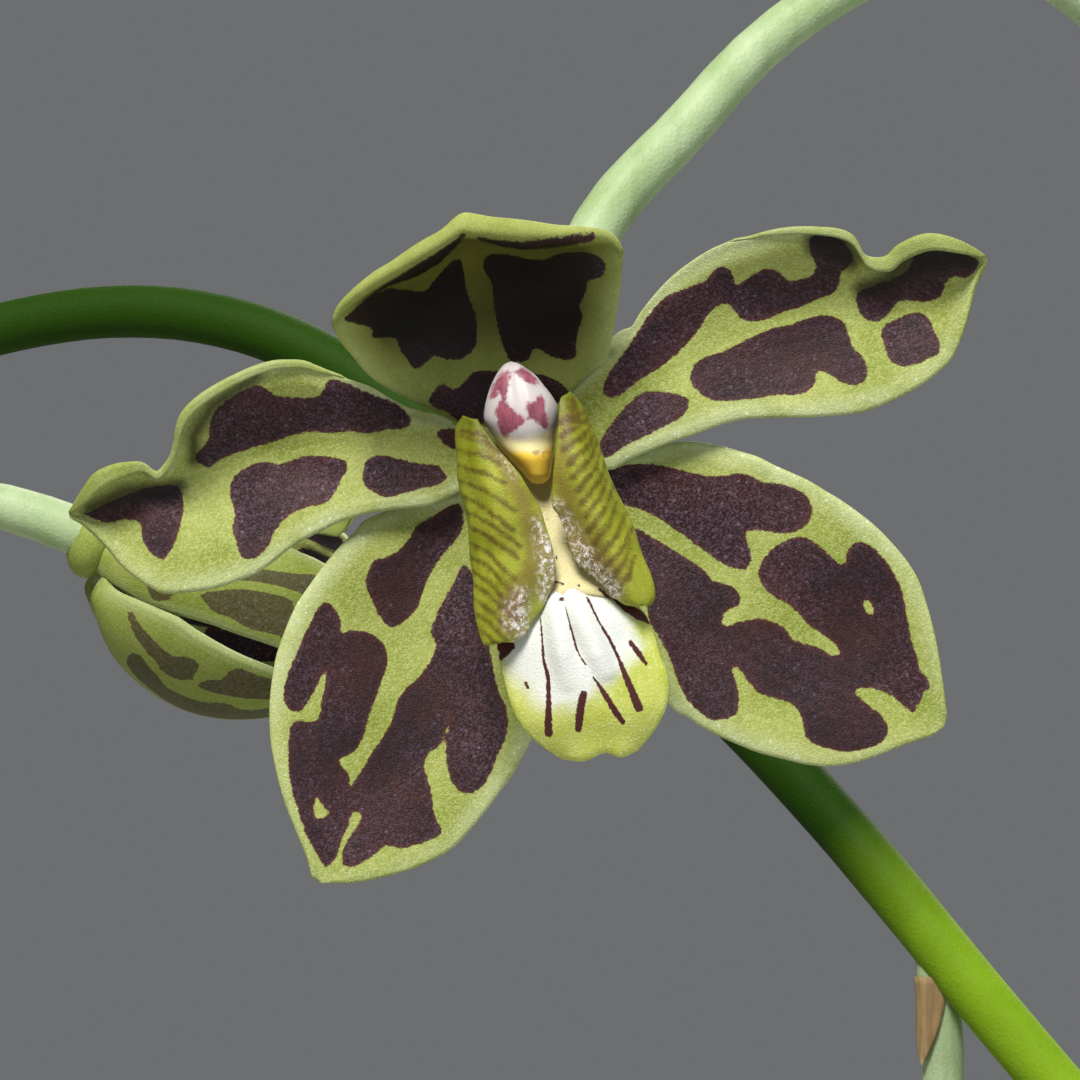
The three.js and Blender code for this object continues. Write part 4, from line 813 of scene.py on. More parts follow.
# the lip: rails of the folded throat, from the inner edge of the left lobe round to that of the right
throat = {
    "rails": [
        [
            (-3.4, 0.8), (-3, 0.25), (-2.6, -0.3), (-2, -1), (-1.1, -2), (-0.5, -3), (0.1, -4), (0.4, -5),
            (0.7, -6), (0.9, -7), (1, -8), (0.8, -8.8), (0.6, -9.3), (0.3, -10), (-0.3, -10.8), (-0.8, -11.6),
            (-1.5, -12),
        ],
        [(-4.05, 1.25), (-3.7, -1.2), (-2.9, -4.0), (-2.2, -7.0), (-2.0, -9.8), (-2.5, -12.15)],
        [
            (-4.5, 0.95), (-4.95, 0.5), (-5.1, -0.2), (-5, -1.5), (-4.8, -3), (-4.5, -4.5), (-4.3, -6),
            (-4.2, -8), (-4.1, -9.5), (-3.8, -11), (-3.5, -12.1),
        ],
        [(0.2, -2.0), (0.3, -3.4), (0.5, -5.0), (0.8, -6.6), (1.15, -8.1), (1.5, -9.5)],
        [
            (1.95, 2.3), (2.6, 1.7), (3.05, 0.9), (3.5, 0), (3.9, -1.2), (4.4, -2.6), (5, -4), (5.5, -5.2),
            (6, -6.6), (6.4, -7.6), (6.7, -8.6), (6.8, -9.4), (6.6, -9.8),
        ],
        [(1.45, 2.6), (2.15, 0.1), (2.7, -2.5), (3.8, -5.4), (5.0, -8.0), (6.0, -9.95)],
        [
            (0.95, 2.15), (0.98, 1.3), (0.9, 0.3), (0.8, -1), (0.7, -2), (0.6, -3.8), (1, -4.5), (1.3, -5.2),
            (1.6, -6), (2, -7), (2.5, -7.6), (3, -8), (3.5, -8.5), (4.2, -9.2), (4.7, -9.6), (5.3, -9.75),
        ],
    ],
    "back": [
        [-6.0, -7.0, -7.0, -6.6, -6.8, -7.4],
        [-5.6, -6.8, -7.4, -7.6, -7.8, -7.8],
        [-4.2, -4.2, -4.4, -5.0, -5.8, -6.6],
        [-3.8, -4.0, -4.5, -5.0, -5.7, -6.4],
        [-4.4, -4.4, -4.6, -5.0, -5.8, -6.6],
        [-5.6, -6.9, -7.5, -7.7, -7.8, -7.6],
        [-6.0, -7.0, -7.0, -6.6, -6.8, -7.2],
    ],
    "fuzz": [
        [(-2.3, -1.2, -0.2), (-1.6, -2.2, -0.15)],
        [(-0.2, -5.0, 0.05), (0.1, -6.0, 0.25), (0.45, -7.2, 0.45), (0.5, -8.4, 0.45), (0.3, -9.2, 0.3)],
        [(-1.2, -9.2, 0.1), (-1.4, -10.0, 0.35), (-1.4, -10.8, 0.5), (-1.2, -11.5, 0.4)],
        [
            (1.0, -3.8, 0.1), (1.35, -4.8, 0.35), (1.9, -5.9, 0.5), (2.7, -7.0, 0.5), (3.5, -8.0, 0.4),
            (4.5, -9.0, 0.25),
        ],
    ],
}

midLobe = {
    "rails": [
        [
            (0.2, -7.4), (-1.2, -9.6), (-2.3, -11.5), (-2.5, -12.3), (-2.4, -13), (-2.2, -14), (-1.9, -15.2),
            (-1.5, -16.3), (-1, -17.2), (-0.3, -17.9), (0.7, -18.6), (1.4, -18.95),
        ],
        [(0.7, -7.2), (0.2, -9.7), (0.0, -12.4), (0.2, -14.6), (0.9, -16.9), (2.6, -19.2)],
        [(1.2, -7.2), (1.6, -9.5), (2.0, -12), (2.4, -14.5), (3.0, -16.8), (3.85, -18.72)],
        [(1.7, -7.2), (3.4, -9.4), (4.6, -11.8), (5.2, -14.0), (5.3, -16.6), (4.75, -18.98)],
        [
            (2.2, -7.4), (4.6, -8.8), (6.0, -10.2), (6.5, -11), (6.9, -12), (7.2, -13), (7.6, -14),
            (7.7, -15), (7.5, -16), (7, -17), (6.3, -17.9), (5.6, -18.6),
        ],
    ],
    "back": [
        [-3.0, -5.4, -6.2, -6.6, -6.4],
        [-3.2, -6.3, -7.1, -7.4, -6.8],
        [-3.3, -6.7, -7.6, -7.8, -7.0],
        [-3.2, -6.3, -7.1, -7.4, -6.8],
        [-3.0, -5.4, -6.2, -6.6, -6.4],
    ],
    "ridges": [
        [(0.6, -7.6, 0.3), (0.9, -9.6, 0.45), (1.2, -12.0, 0.5), (1.7, -14.6, 0.1)],
        [(1.5, -7.6, 0.3), (2.0, -9.5, 0.45), (3.0, -11.9, 0.5), (3.9, -13.9, 0.1)],
    ],
    "lines": [
        [
            (0.2, -10.8, 0.06), (0.3, -12, 0.08), (0.35, -13.2, 0.1), (0.6, -14.2, 0.13),
            (0.6, -15.5, 0.15), (0.6, -17.4, 0.25),
        ],
        [(1.5, -10.2, 0.1), (1.7, -11.3, 0.1), (2.1, -12.6, 0.11), (2.8, -13.5, 0.08)],
        [
            (2.7, -9.7, 0.08), (3.3, -10.9, 0.08), (4, -12, 0.11), (4.6, -13.2, 0.13), (5.2, -14.6, 0.2),
            (5.8, -16, 0.26),
        ],
        [(3.2, -14.2, 0.08), (3.8, -15.2, 0.15), (4.5, -16.3, 0.18), (4.9, -16.8, 0.15)],
        [(2.6, -15.2, 0.2), (2.4, -16.2, 0.25), (2.3, -17.2, 0.2)],
        [(5.3, -12.2, 0.13), (5.8, -12.9, 0.17), (6.2, -13.5, 0.1)],
        [(-0.7, -14.55, 0.1), (-0.6, -14.85, 0.1)],
        [(1.2, -9.8, 0.12), (1.3, -9.75, 0.12)],
        [(1.0, -8.65, 0.09), (1.1, -8.7, 0.09)],
        [(1.4, -8.75, 0.08), (1.45, -8.8, 0.08)],
        [(2.3, -8.85, 0.07), (2.35, -8.9, 0.07)],
        [(1, -7.1, 0.07), (1, -7.2, 0.07)],
        [(0.45, -4.8, 0.06), (0.47, -4.9, 0.06)],
        [(1.9, -7.6, 0.05), (2.0, -8.2, 0.05)],
        [(3.6, -9.1, 0.1), (4.4, -9.75, 0.12), (5, -10.2, 0.22), (5.8, -10.6, 0.3), (6.5, -10.9, 0.2)],
        [(-2.3, -12.3, 0.35), (-1.7, -12.4, 0.3), (-2.2, -13.0, 0.2)],
    ],
    "white": [
        (0.2, -7.2), (2.2, -7.2), (3.6, -9.2), (5.3, -10.8), (5.7, -12.0), (5.1, -13.4), (4.3, -14.6),
        (3.2, -15.2), (2.0, -15.7), (0.8, -15.7), (-0.4, -15.2), (-1.2, -14.2), (-1.7, -13.2),
        (-1.9, -12.6), (-1.2, -11.0),
    ],
}

# heights of the column with its left and right edge at each
columnPlan = {
    "levels": [
        (4.66, -1.85, -1.6), (4.55, -2.1, -1.25), (4.3, -2.35, -0.85), (3.9, -2.62, -0.3), (3.3, -2.92, 0.2),
        (2.6, -3.16, 0.75), (1.9, -3.32, 1.1), (1.2, -3.35, 1.12), (0.5, -3.02, 0.95), (-0.3, -2.55, 0.85),
        (-1.1, -1.85, 0.78), (-1.8, -1.2, 0.68), (-2.3, -0.8, 0.55), (-2.6, -0.45, 0.25),
    ],
    "back": -4.6,
    "depth": 0.8,
    "smudge": [[(-0.3, -0.75, 0.1), (0.1, -0.9, 0.12), (0.5, -0.7, 0.1)]],
    "marks": [
        [
            (-3.05, 2.3), (-2.8, 3.2), (-2.4, 3.85), (-1.9, 4.15), (-1.8, 3.7), (-1.9, 3.2), (-2.05, 2.3),
            (-2.3, 2.4), (-2.45, 2.9), (-2.75, 2.5),
        ],
        [
            (-2.6, 2.0), (-2.2, 2.45), (-1.8, 2.05), (-1.4, 1.6), (-0.95, 1.35), (-1.1, 0.9), (-1.6, 0.5),
            (-2.1, 0.1), (-2.4, 0.4), (-2.55, 1.2),
        ],
        [(-1.5, 4.1), (-1, 4.3), (-0.4, 3.9), (-0.1, 3.15), (-0.5, 3.35), (-1, 3.55)],
        [
            (-0.8, 2.2), (-0.3, 2.35), (0, 2.7), (0.3, 2.3), (0.3, 1.8), (0.5, 0.9), (0.25, 0.65),
            (-0.2, 1.0), (-0.75, 1.4),
        ],
    ],
}


# the stripes of the side lobes fan out from their edges
def lobeStripes():
    pick = np.random.default_rng(5)
    strokes = []
    for n in range(14):
        t = n / 13
        left = np.array([-4.75 + 1.1 * t**1.4, 0.3 - 11.4 * t])
        run = 2.2 + 1.1 * math.sin(math.pi * t) - 0.8 * t + 0.3 * pick.uniform(-1, 1)
        fall = run * (0.45 + 0.75 * t + 0.1 * pick.uniform(-1, 1))
        mid = left + [run * 0.5, -fall * 0.38]
        end = left + [run, -fall]
        strokes.append([(*left, 0.05), (*mid, 0.12), (*end, 0.1 + 0.08 * pick.uniform())])
    for n in range(14):
        t = n / 13
        low = np.array([1.15 + 3.4 * t**1.15, 0.9 - 10.2 * t])
        steep = math.radians(36 + 30 * float(smoothStep(t / 0.3)) + 5 * pick.uniform(-1, 1))
        run = 2.6 + 0.4 * pick.uniform(-1, 1)
        end = low + run * np.array([math.cos(steep), math.sin(steep)])
        mid = low + run / 2 * np.array([math.cos(steep - 0.14), math.sin(steep - 0.14)])
        strokes.append([(*low, 0.19), (*mid, 0.14), (*end, 0.05)])
    return strokes


lobeMottle = [
    [(-4.4, 0.5, 0.15), (-3.7, 0.2, 0.2), (-3.2, -0.1, 0.1)],
    [(1.75, 2.2, 0.2), (1.8, 1.7, 0.22)],
    [(1.7, 1.1, 0.28), (2.3, 0.9, 0.22)],
]
# the stripes run together in a mottled band beside the wool
lobeBrown = [
    [
        (-3.0, -0.6, 0.2), (-2.0, -1.9, 0.45), (-1.2, -3.3, 0.55), (-0.7, -5.0, 0.6), (-0.5, -6.8, 0.55),
        (-0.9, -8.4, 0.6), (-1.7, -9.8, 0.7), (-1.9, -11.2, 0.5),
    ],
    [
        (1.7, 1.3, 0.2), (1.4, -0.6, 0.4), (1.3, -2.4, 0.5), (1.9, -4.2, 0.65), (2.7, -5.6, 0.7),
        (3.6, -7.0, 0.65), (4.6, -8.3, 0.5),
    ],
]
lobeInset = [-0.15, 0.05, 0.48, 0.0, -0.4, 0.0, 0.12]


# the parts of a flower as points, faces and fields in its own frame
def flowerSheets(fine, curl):
    along, across = (150, 62) if fine else (44, 18) if curl else (36, 14)
    made = []
    for name, plan in tepals.items():
        grid = tepalGrid(plan, along, across)
        if plan["flip"]:
            grid = grid[:, ::-1]
        made.append((name, grid, plan["marks"], plan["holes"], [], plan["shade"]))
    grid = hoodGrid(hood, along * 2 // 3, across)
    made.append(("hood", grid, hood["marks"], [], hood["strips"], []))
    return made


def rimDistance(grid):
    lengths = np.linalg.norm(np.diff(grid, axis=1), axis=2)
    run = np.concatenate([np.zeros((len(grid), 1)), np.cumsum(lengths, axis=1)], axis=1)
    side = np.minimum(run, run[:, -1:] - run)
    rows = np.linalg.norm(np.diff(grid, axis=0), axis=2)
    down = np.concatenate([np.cumsum(rows[::-1], axis=0)[::-1], np.zeros((1, grid.shape[1]))], axis=0)
    return np.minimum(side, down)


def curledUp(places, curl, reachAll=28.0):
    reach = np.hypot(places[..., 0], places[..., 2])
    turn = curl * reach / reachAll
    radius = reachAll / curl
    share = radius * np.sin(turn) / np.maximum(reach, 0.01)
    return np.stack(
        [
            places[..., 0] * share, places[..., 1] - radius * (1 - np.cos(turn)), places[..., 2] * share,
        ], axis=-1
    )


def joinParts(parts):
    points, faces, fields, spreads, start = [], [], {}, [], 0
    for part in parts:
        points.append(part["points"])
        faces.append(part["faces"] + start)
        spreads.append(part["spread"])
        for key, values in part["fields"].items():
            fields.setdefault(key, []).append(values)
        start += len(part["points"])
    fields = {key: np.concatenate(values) for key, values in fields.items()}
    return np.concatenate(points), np.concatenate(faces), fields, np.concatenate(spreads)


def evenFields(points, **values):
    return {key: np.full(len(points), float(value)) for key, value in values.items()}


# sepals and petals of one flower, in its own frame
def perianth(fine, seed=0, curl=0.0):
    parts = []
    for order, (name, grid, marks, holes, strips, shades) in enumerate(flowerSheets(fine, curl)):
        seen = asSeen(grid).reshape(-1, 2)
        if seed:
            seen = seen + 1.1 * np.stack(
                [waves(seen, 9, seed * 10 + order), waves(seen, 9, seed * 20 + order)], axis=1
            )
        depth = markDepth(seen, marks, holes)
        if strips:
            depth = np.maximum(depth, strokeDepth(seen, strips))
        rim = rimDistance(grid).ravel()
        rows, columns = grid.shape[:2]
        share = np.linspace(0, 1, rows)
        shade = strokeDepth(seen, shades)
        thick = 0.5 + 0.3 * (1 - share)[:, None] * np.ones((1, columns))
        if name != "hood" and max(tepals[name]["roll"]) > 0:
            # the rolled margin is thin and shows its plain back
            column = np.arange(columns)
            if tepals[name]["flip"]:
                column = column[::-1]
            back = np.broadcast_to(column < foldColumns - 2, (rows, columns)).ravel()
            depth, shade = np.where(back, -3.0, depth), np.where(back, -3.0, shade)
            thick = thick * (0.4 + 0.6 * smoothStep((column - foldColumns) / 6))[None, :]
        elif name == "hood":
            # the hood's upturned rim has no blotches
            depth = np.where(np.repeat(np.linspace(0, 1, rows) > 0.93, columns), -3.0, depth)
        relief = 0.10 * waves(grid, 7, 40 + order + seed)
        relief = relief * np.minimum(rim / 3, 1).reshape(rows, columns)
        grid = grid + normalsOf(grid) * relief[..., None]
        if curl:
            grid = curledUp(grid, curl)
        if name == "hood":
            thick = thick - 0.25 * share[:, None] ** 3
        points, faces, outer, spread = sheetShell(grid, thick)
        fields = {
            "depth": double(depth),
            "rim": double(rim),
            "shade": double(shade),
            "outer": outer,
            "hooded": np.full(len(points), 1.0 if name == "hood" else 0.0),
        }
        parts.append(asPart(points, faces, spread, fields))
    ball = eggPart((-0.8, 2.5, 0.0), (2.7, 1.7, 2.6), 28 if fine else 12, 18 if fine else 8)
    ball["fields"] = evenFields(ball["points"], depth=-3, rim=3, shade=-3, outer=1, hooded=0)
    return parts + [ball]


def ringSpread(along, turn):
    flat = np.stack(np.meshgrid(along, turn / (2 * math.pi), indexing="ij"), axis=-1).reshape(-1, 2)
    return np.concatenate([flat, [[0, 0], [1, 0]]])


def eggPart(at, axes, around, up):
    turn = np.linspace(0, 2 * math.pi, around, endpoint=False)
    rise = np.linspace(0, math.pi, up + 1)[1:-1]
    ring = np.stack(
        [
            np.outer(np.sin(rise), np.cos(turn)), np.outer(np.sin(rise), np.sin(turn)),
            np.outer(-np.cos(rise), np.ones(around)),
        ],
        axis=-1
    )
    points = ring.reshape(-1, 3) * axes + at
    ends = np.array([[0, 0, -axes[2]], [0, 0, axes[2]]]) + at
    spread = ringSpread(rise / math.pi, turn)
    return asPart(np.concatenate([points, ends]), ringedFaces(len(rise), around), spread)


def lipMeshData(fine):
    along, across = (90, 150) if fine else (24, 38)
    rails = [[(x + shift, z) for x, z in seen] for seen, shift in zip(throat["rails"], lobeInset)]
    rails = [rail(seen, back) for seen, back in zip(rails, throat["back"])]
    grid = surfaceAt(rails, np.linspace(0, 1, along), np.linspace(0, 1, across))
    seen = asSeen(grid).reshape(-1, 2)
    v = np.broadcast_to(np.linspace(0, 1, across), (along, across)).ravel()
    lobes = (v < 0.37) | (v > 0.63)
    stripes = np.where(lobes, strokeDepth(seen, lobeStripes() + lobeMottle), -3)
    fuzz = np.where(lobes, strokeDepth(seen, throat["fuzz"]), -3)
    brown = np.where(lobes, strokeDepth(seen, lobeBrown), -3)
    dots = np.where(lobes, -3, strokeDepth(seen, midLobe["lines"]))
    cream = np.clip(2.4 - np.abs(v - 0.5) / 0.06, 0, 1)
    grid = grid + normalsOf(grid) * (0.06 * waves(grid, 3, 70))[..., None]
    points, faces, _, spread = sheetShell(grid, np.full((along, across), 0.55), 0.6)
    fields = {
        "stripe": stripes, "fuzz": fuzz, "white": cream * 4 - 2, "lines": dots,
        "lobe": np.where(lobes, 1.0, 0.3), "brown": brown,
    }
    parts = [asPart(points, faces, spread, {key: double(values) for key, values in fields.items()})]
    along, across = (110, 96) if fine else (26, 20)
    grid = surfaceAt([
        rail(s, b) for s, b in zip(midLobe["rails"], midLobe["back"])
    ], np.linspace(0, 1, along), np.linspace(0, 1, across))
    seen = asSeen(grid).reshape(-1, 2)
    lines = strokeDepth(seen, midLobe["lines"])
    white = insideBy(seen, np.array(midLobe["white"]))
    ridge = np.clip(strokeDepth(
        seen, [[(x, z, 0.0) for x, z, _ in r] for r in midLobe["ridges"]]
    ) / 0.55, -3, 0)
    height = 0.5 * np.exp(-(ridge**2) * 1.0) * np.clip((seen[:, 1] + 15.4) / 2.5, 0, 1)
    grid = grid + np.array([0, -1.0, 0]) * height.reshape(along, across)[..., None]
    grid = grid + np.array([0, -1.0, 0]) * (0.05 * waves(seen, 3.4, 80)).reshape(along, across)[..., None]
    points, faces, _, spread = sheetShell(grid, np.full((along, across), 0.65), 0.5)
    fields = evenFields(points, stripe=-3, fuzz=-3, lobe=0, brown=-3)
    fields.update({"white": double(white), "lines": double(lines)})
    return parts + [asPart(points, faces, spread, fields)]


def columnPart(fine):
    levels = np.array(columnPlan["levels"])
    rows, around = (64, 56) if fine else (20, 18)
    line = pickAt(levels, np.linspace(0, 1, rows))
    height, left, right = line[:, 0], line[:, 1], line[:, 2]
    half = np.maximum((right - left) / 2, 0.05)
    middle = (left + right) / 2
    turn = np.linspace(0, 2 * math.pi, around, endpoint=False)
    x = middle[:, None] + half[:, None] * np.sin(turn)
    deep = half[:, None] * columnPlan["depth"] * np.cos(turn)
    back = columnPlan["back"] - deep
    # the cap over the pollen has a soft cleft down its front and a lip at its lower edge
    cleft = 0.16 * np.exp(-((x - middle[:, None]) ** 2) / 0.12) * np.clip((height[:, None] - 0.2) / 2, 0, 1)
    ledge = 0.12 * np.exp(-((height[:, None] - 0.55) ** 2) / 0.25)
    front = np.clip(np.cos(turn), 0, 1)[None, :]
    chin = 0.5 * smoothStep(-height / 1.2) * smoothStep((height + 2.7) / 0.6)
    back = back + (cleft - ledge - chin[:, None]) * front
    grid = fromSeen(x, back, np.broadcast_to(height[:, None], x.shape))
    seen = asSeen(grid).reshape(-1, 2)
    smudge = np.minimum(strokeDepth(seen, columnPlan["smudge"]), -0.04)
    marks = np.maximum(markDepth(seen, columnPlan["marks"]), smudge)
    marks = np.where(np.broadcast_to(front, x.shape).ravel() > 0.05, marks, -3)
    points = np.concatenate([
        grid.reshape(-1, 3), grid[:1].mean(1) + [0, 0, 0.03], grid[-1:].mean(1) - [0, 0, 0.05]
    ])
    faces = ringedFaces(rows, around, flip=True, fanFlip=True)
    marks = np.concatenate([marks, [-3, -3]])
    level = np.concatenate([(height[:, None] - 0.6 * np.sin(turn) ** 2).ravel(), [4.7, -2.7]])
    spread = np.stack([np.linspace(0, 1, len(points))] * 2, axis=1)
    neck = tubePart(
        [(-0.5, -0.1, -0.9), (-0.9, -2.4, -0.4), (-1.1, -4.4, 0.4)], [1.35, 1.3, 1.4], 20 if fine else 8,
        10 if fine else 4
    )
    neck["fields"] = evenFields(neck["points"], spots=-3, level=-0.9)
    return [asPart(points, faces, spread, {"spots": marks, "level": level}), neck]


# a plain tube with closed ends along a line of points
def tubePart(line, radii, sides, steps):
    line = np.array(line, float)
    t = np.linspace(0, 1, steps + 1)
    centre = pickAt(line, t)
    way = np.gradient(centre, axis=0)
    way /= np.linalg.norm(way, axis=1, keepdims=True)
    radius = np.interp(t, np.linspace(0, 1, len(radii)), radii)
    side = np.array([0.31, 0.17, 0.05])
    rings = []
    turn = np.linspace(0, 2 * math.pi, sides, endpoint=False)
    for k in range(steps + 1):
        side = side - way[k] * (side @ way[k])
        side /= np.linalg.norm(side)
        other = np.cross(way[k], side)
        rings.append(centre[k] + radius[k] * (np.outer(np.cos(turn), side) + np.outer(np.sin(turn), other)))
    points = np.concatenate(rings + [centre[:1], centre[-1:]])
    return asPart(points, ringedFaces(steps + 1, sides, flip=True), ringSpread(t, turn))

# ---- geometry nodes: stems along lines, and what is strewn over a surface


def stemTree():
    inputs = {
        "Geometry": "Geometry", "Sides": 12, "Step": 0.003, "Lump height": 0.0001, "Lump size": 0.005,
        "Seed": 1.0, "Material": "Material",
    }
    given, asked = newGroup("stemAlongLine", inputs, ["Geometry"], "GeometryNodeTree")
    lines = node("GeometryNodeMeshToCurve", {"Mesh": given["Geometry"]}).outputs[0]
    paced = node("GeometryNodeResampleCurve", {"Curve": lines, "Length": given["Step"]}, mode="LENGTH")
    width = node("GeometryNodeInputNamedAttribute", {"Name": "thickness"}, data_type="FLOAT")
    ring = node("GeometryNodeCurvePrimitiveCircle", {"Resolution": given["Sides"], "Radius": 1.0})
    tube = node(
        "GeometryNodeCurveToMesh",
        {
            "Curve": paced.outputs[0], "Profile Curve": ring.outputs[0], "Scale": width.outputs[0],
            "Fill Caps": True,
        }
    )
    scale = calc("DIVIDE", 1.0, given["Lump size"])
    lumps = node(
        "ShaderNodeTexNoise", {"W": given["Seed"], "Scale": scale, "Detail": 2.0}, noise_dimensions="4D"
    )
    height = times(less(lumps.outputs[0], 0.5), given["Lump height"])
    normal = node("GeometryNodeInputNormal").outputs[0]
    shift = node("ShaderNodeVectorMath", {0: normal, "Scale": height}, operation="SCALE")
    moved = node("GeometryNodeSetPosition", {"Geometry": tube.outputs[0], "Offset": shift.outputs[0]})
    smooth = node("GeometryNodeSetShadeSmooth", {"Geometry": moved.outputs[0]})
    real = node("GeometryNodeRealizeInstances", {"Geometry": smooth.outputs[0]})
    skin = node("GeometryNodeSetMaterial", {"Geometry": real.outputs[0], "Material": given["Material"]})
    feed(asked["Geometry"], skin.outputs[0])
    return bench["tree"]


def strewTree():
    inputs = {
        "Geometry": "Geometry", "Pieces": "Collection", "Density": 1000.0, "Closest": 0.001,
        "Smallest": 0.7, "Largest": 1.3, "Tilt": 0.4, "Seed": 3, "Material": "Material",
    }
    given, asked = newGroup("strewnPieces", inputs, ["Geometry"], "GeometryNodeTree")
    dense = node("GeometryNodeInputNamedAttribute", {"Name": "dense"}, data_type="FLOAT")
    spots = node(
        "GeometryNodeDistributePointsOnFaces",
        {
            "Mesh": given["Geometry"], "Distance Min": given["Closest"], "Density Max": given["Density"],
            "Density Factor": dense.outputs[0], "Seed": given["Seed"],
        },
        distribute_method="POISSON"
    )
    tilt = times(given["Tilt"], -1.0)
    low = node("ShaderNodeCombineXYZ", {0: tilt, 1: tilt, 2: 0.0}).outputs[0]
    high = node("ShaderNodeCombineXYZ", {0: given["Tilt"], 1: given["Tilt"], 2: fullTurn}).outputs[0]
    lean = node("FunctionNodeRandomValue", {0: low, 1: high, "Seed": given["Seed"]}, data_type="FLOAT_VECTOR")
    tipped = node("FunctionNodeEulerToRotation", {0: lean.outputs[0]}).outputs[0]
    turned = node(
        "FunctionNodeRotateRotation", {"Rotation": spots.outputs["Rotation"], "Rotate By": tipped},
        rotation_space="LOCAL"
    )
    size = node(
        "FunctionNodeRandomValue", {2: given["Smallest"], 3: given["Largest"], "Seed": given["Seed"]},
        data_type="FLOAT"
    )
    source = node(
        "GeometryNodeCollectionInfo",
        {"Collection": given["Pieces"], "Separate Children": True, "Reset Children": True}
    )
    placed = node(
        "GeometryNodeInstanceOnPoints",
        {
            "Points": spots.outputs["Points"], "Instance": source.outputs[0], "Pick Instance": True,
            "Rotation": turned.outputs[0], "Scale": size.outputs[1],
        }
    )
    chance = node("FunctionNodeRandomValue", {2: 0.0, 3: 1.0, "Seed": given["Seed"]}, data_type="FLOAT")
    toned = node(
        "GeometryNodeStoreNamedAttribute",
        {"Geometry": placed.outputs[0], "Name": "tone", "Value": chance.outputs[1]}, data_type="FLOAT",
        domain="INSTANCE"
    )
    real = node("GeometryNodeRealizeInstances", {"Geometry": toned.outputs[0]})
    skin = node("GeometryNodeSetMaterial", {"Geometry": real.outputs[0], "Material": given["Material"]})
    feed(asked["Geometry"], skin.outputs[0])
    return bench["tree"]


# runs a tree on a mesh and gives the mesh that it makes
def grown(name, mesh, tree, values):
    holder = bpy.data.objects.new(name + "Source", mesh)
    bpy.context.scene.collection.objects.link(holder)
    modifier = holder.modifiers.new("grow", "NODES")
    modifier.node_group = tree
    for item in tree.interface.items_tree:
        if item.item_type == "SOCKET" and item.in_out == "INPUT" and item.name in values:
            modifier[item.identifier] = values[item.name]
    bpy.context.view_layer.update()
    graph = bpy.context.evaluated_depsgraph_get()
    made = bpy.data.meshes.new_from_object(holder.evaluated_get(graph), depsgraph=graph)
    made.name = name
    holder.modifiers.remove(modifier)
    bpy.data.objects.remove(holder)
    return made


def linesMesh(name, strands):
    points, edges, thickness, share = [], [], [], []
    for line, radii, *shares in strands:
        count = max(12, int(lengthOf(np.array(line, float)) / 2.5))
        t = np.linspace(0, 1, count)
        start = len(points)
        points.extend(pickAt(np.array(line, float), t))
        edges.extend((start + k, start + k + 1) for k in range(count - 1))
        thickness.extend(np.interp(t, np.linspace(0, 1, len(radii)), radii) * mm)
        share.extend(np.interp(t, (0, 1), shares[0] if shares else (0, 1)))
    mesh = bpy.data.meshes.new(name)
    mesh.from_pydata((np.array(points) * mm).tolist(), edges, [])
    for key, values in (("thickness", thickness), ("share", share)):
        layer = mesh.attributes.new(key, "FLOAT", "POINT")
        layer.data.foreach_set("value", np.array(values, np.float32))
    return mesh


stemNodes = stemTree()
strewNodes = strewTree()
print("node trees built", flush=True)


# ---- materials


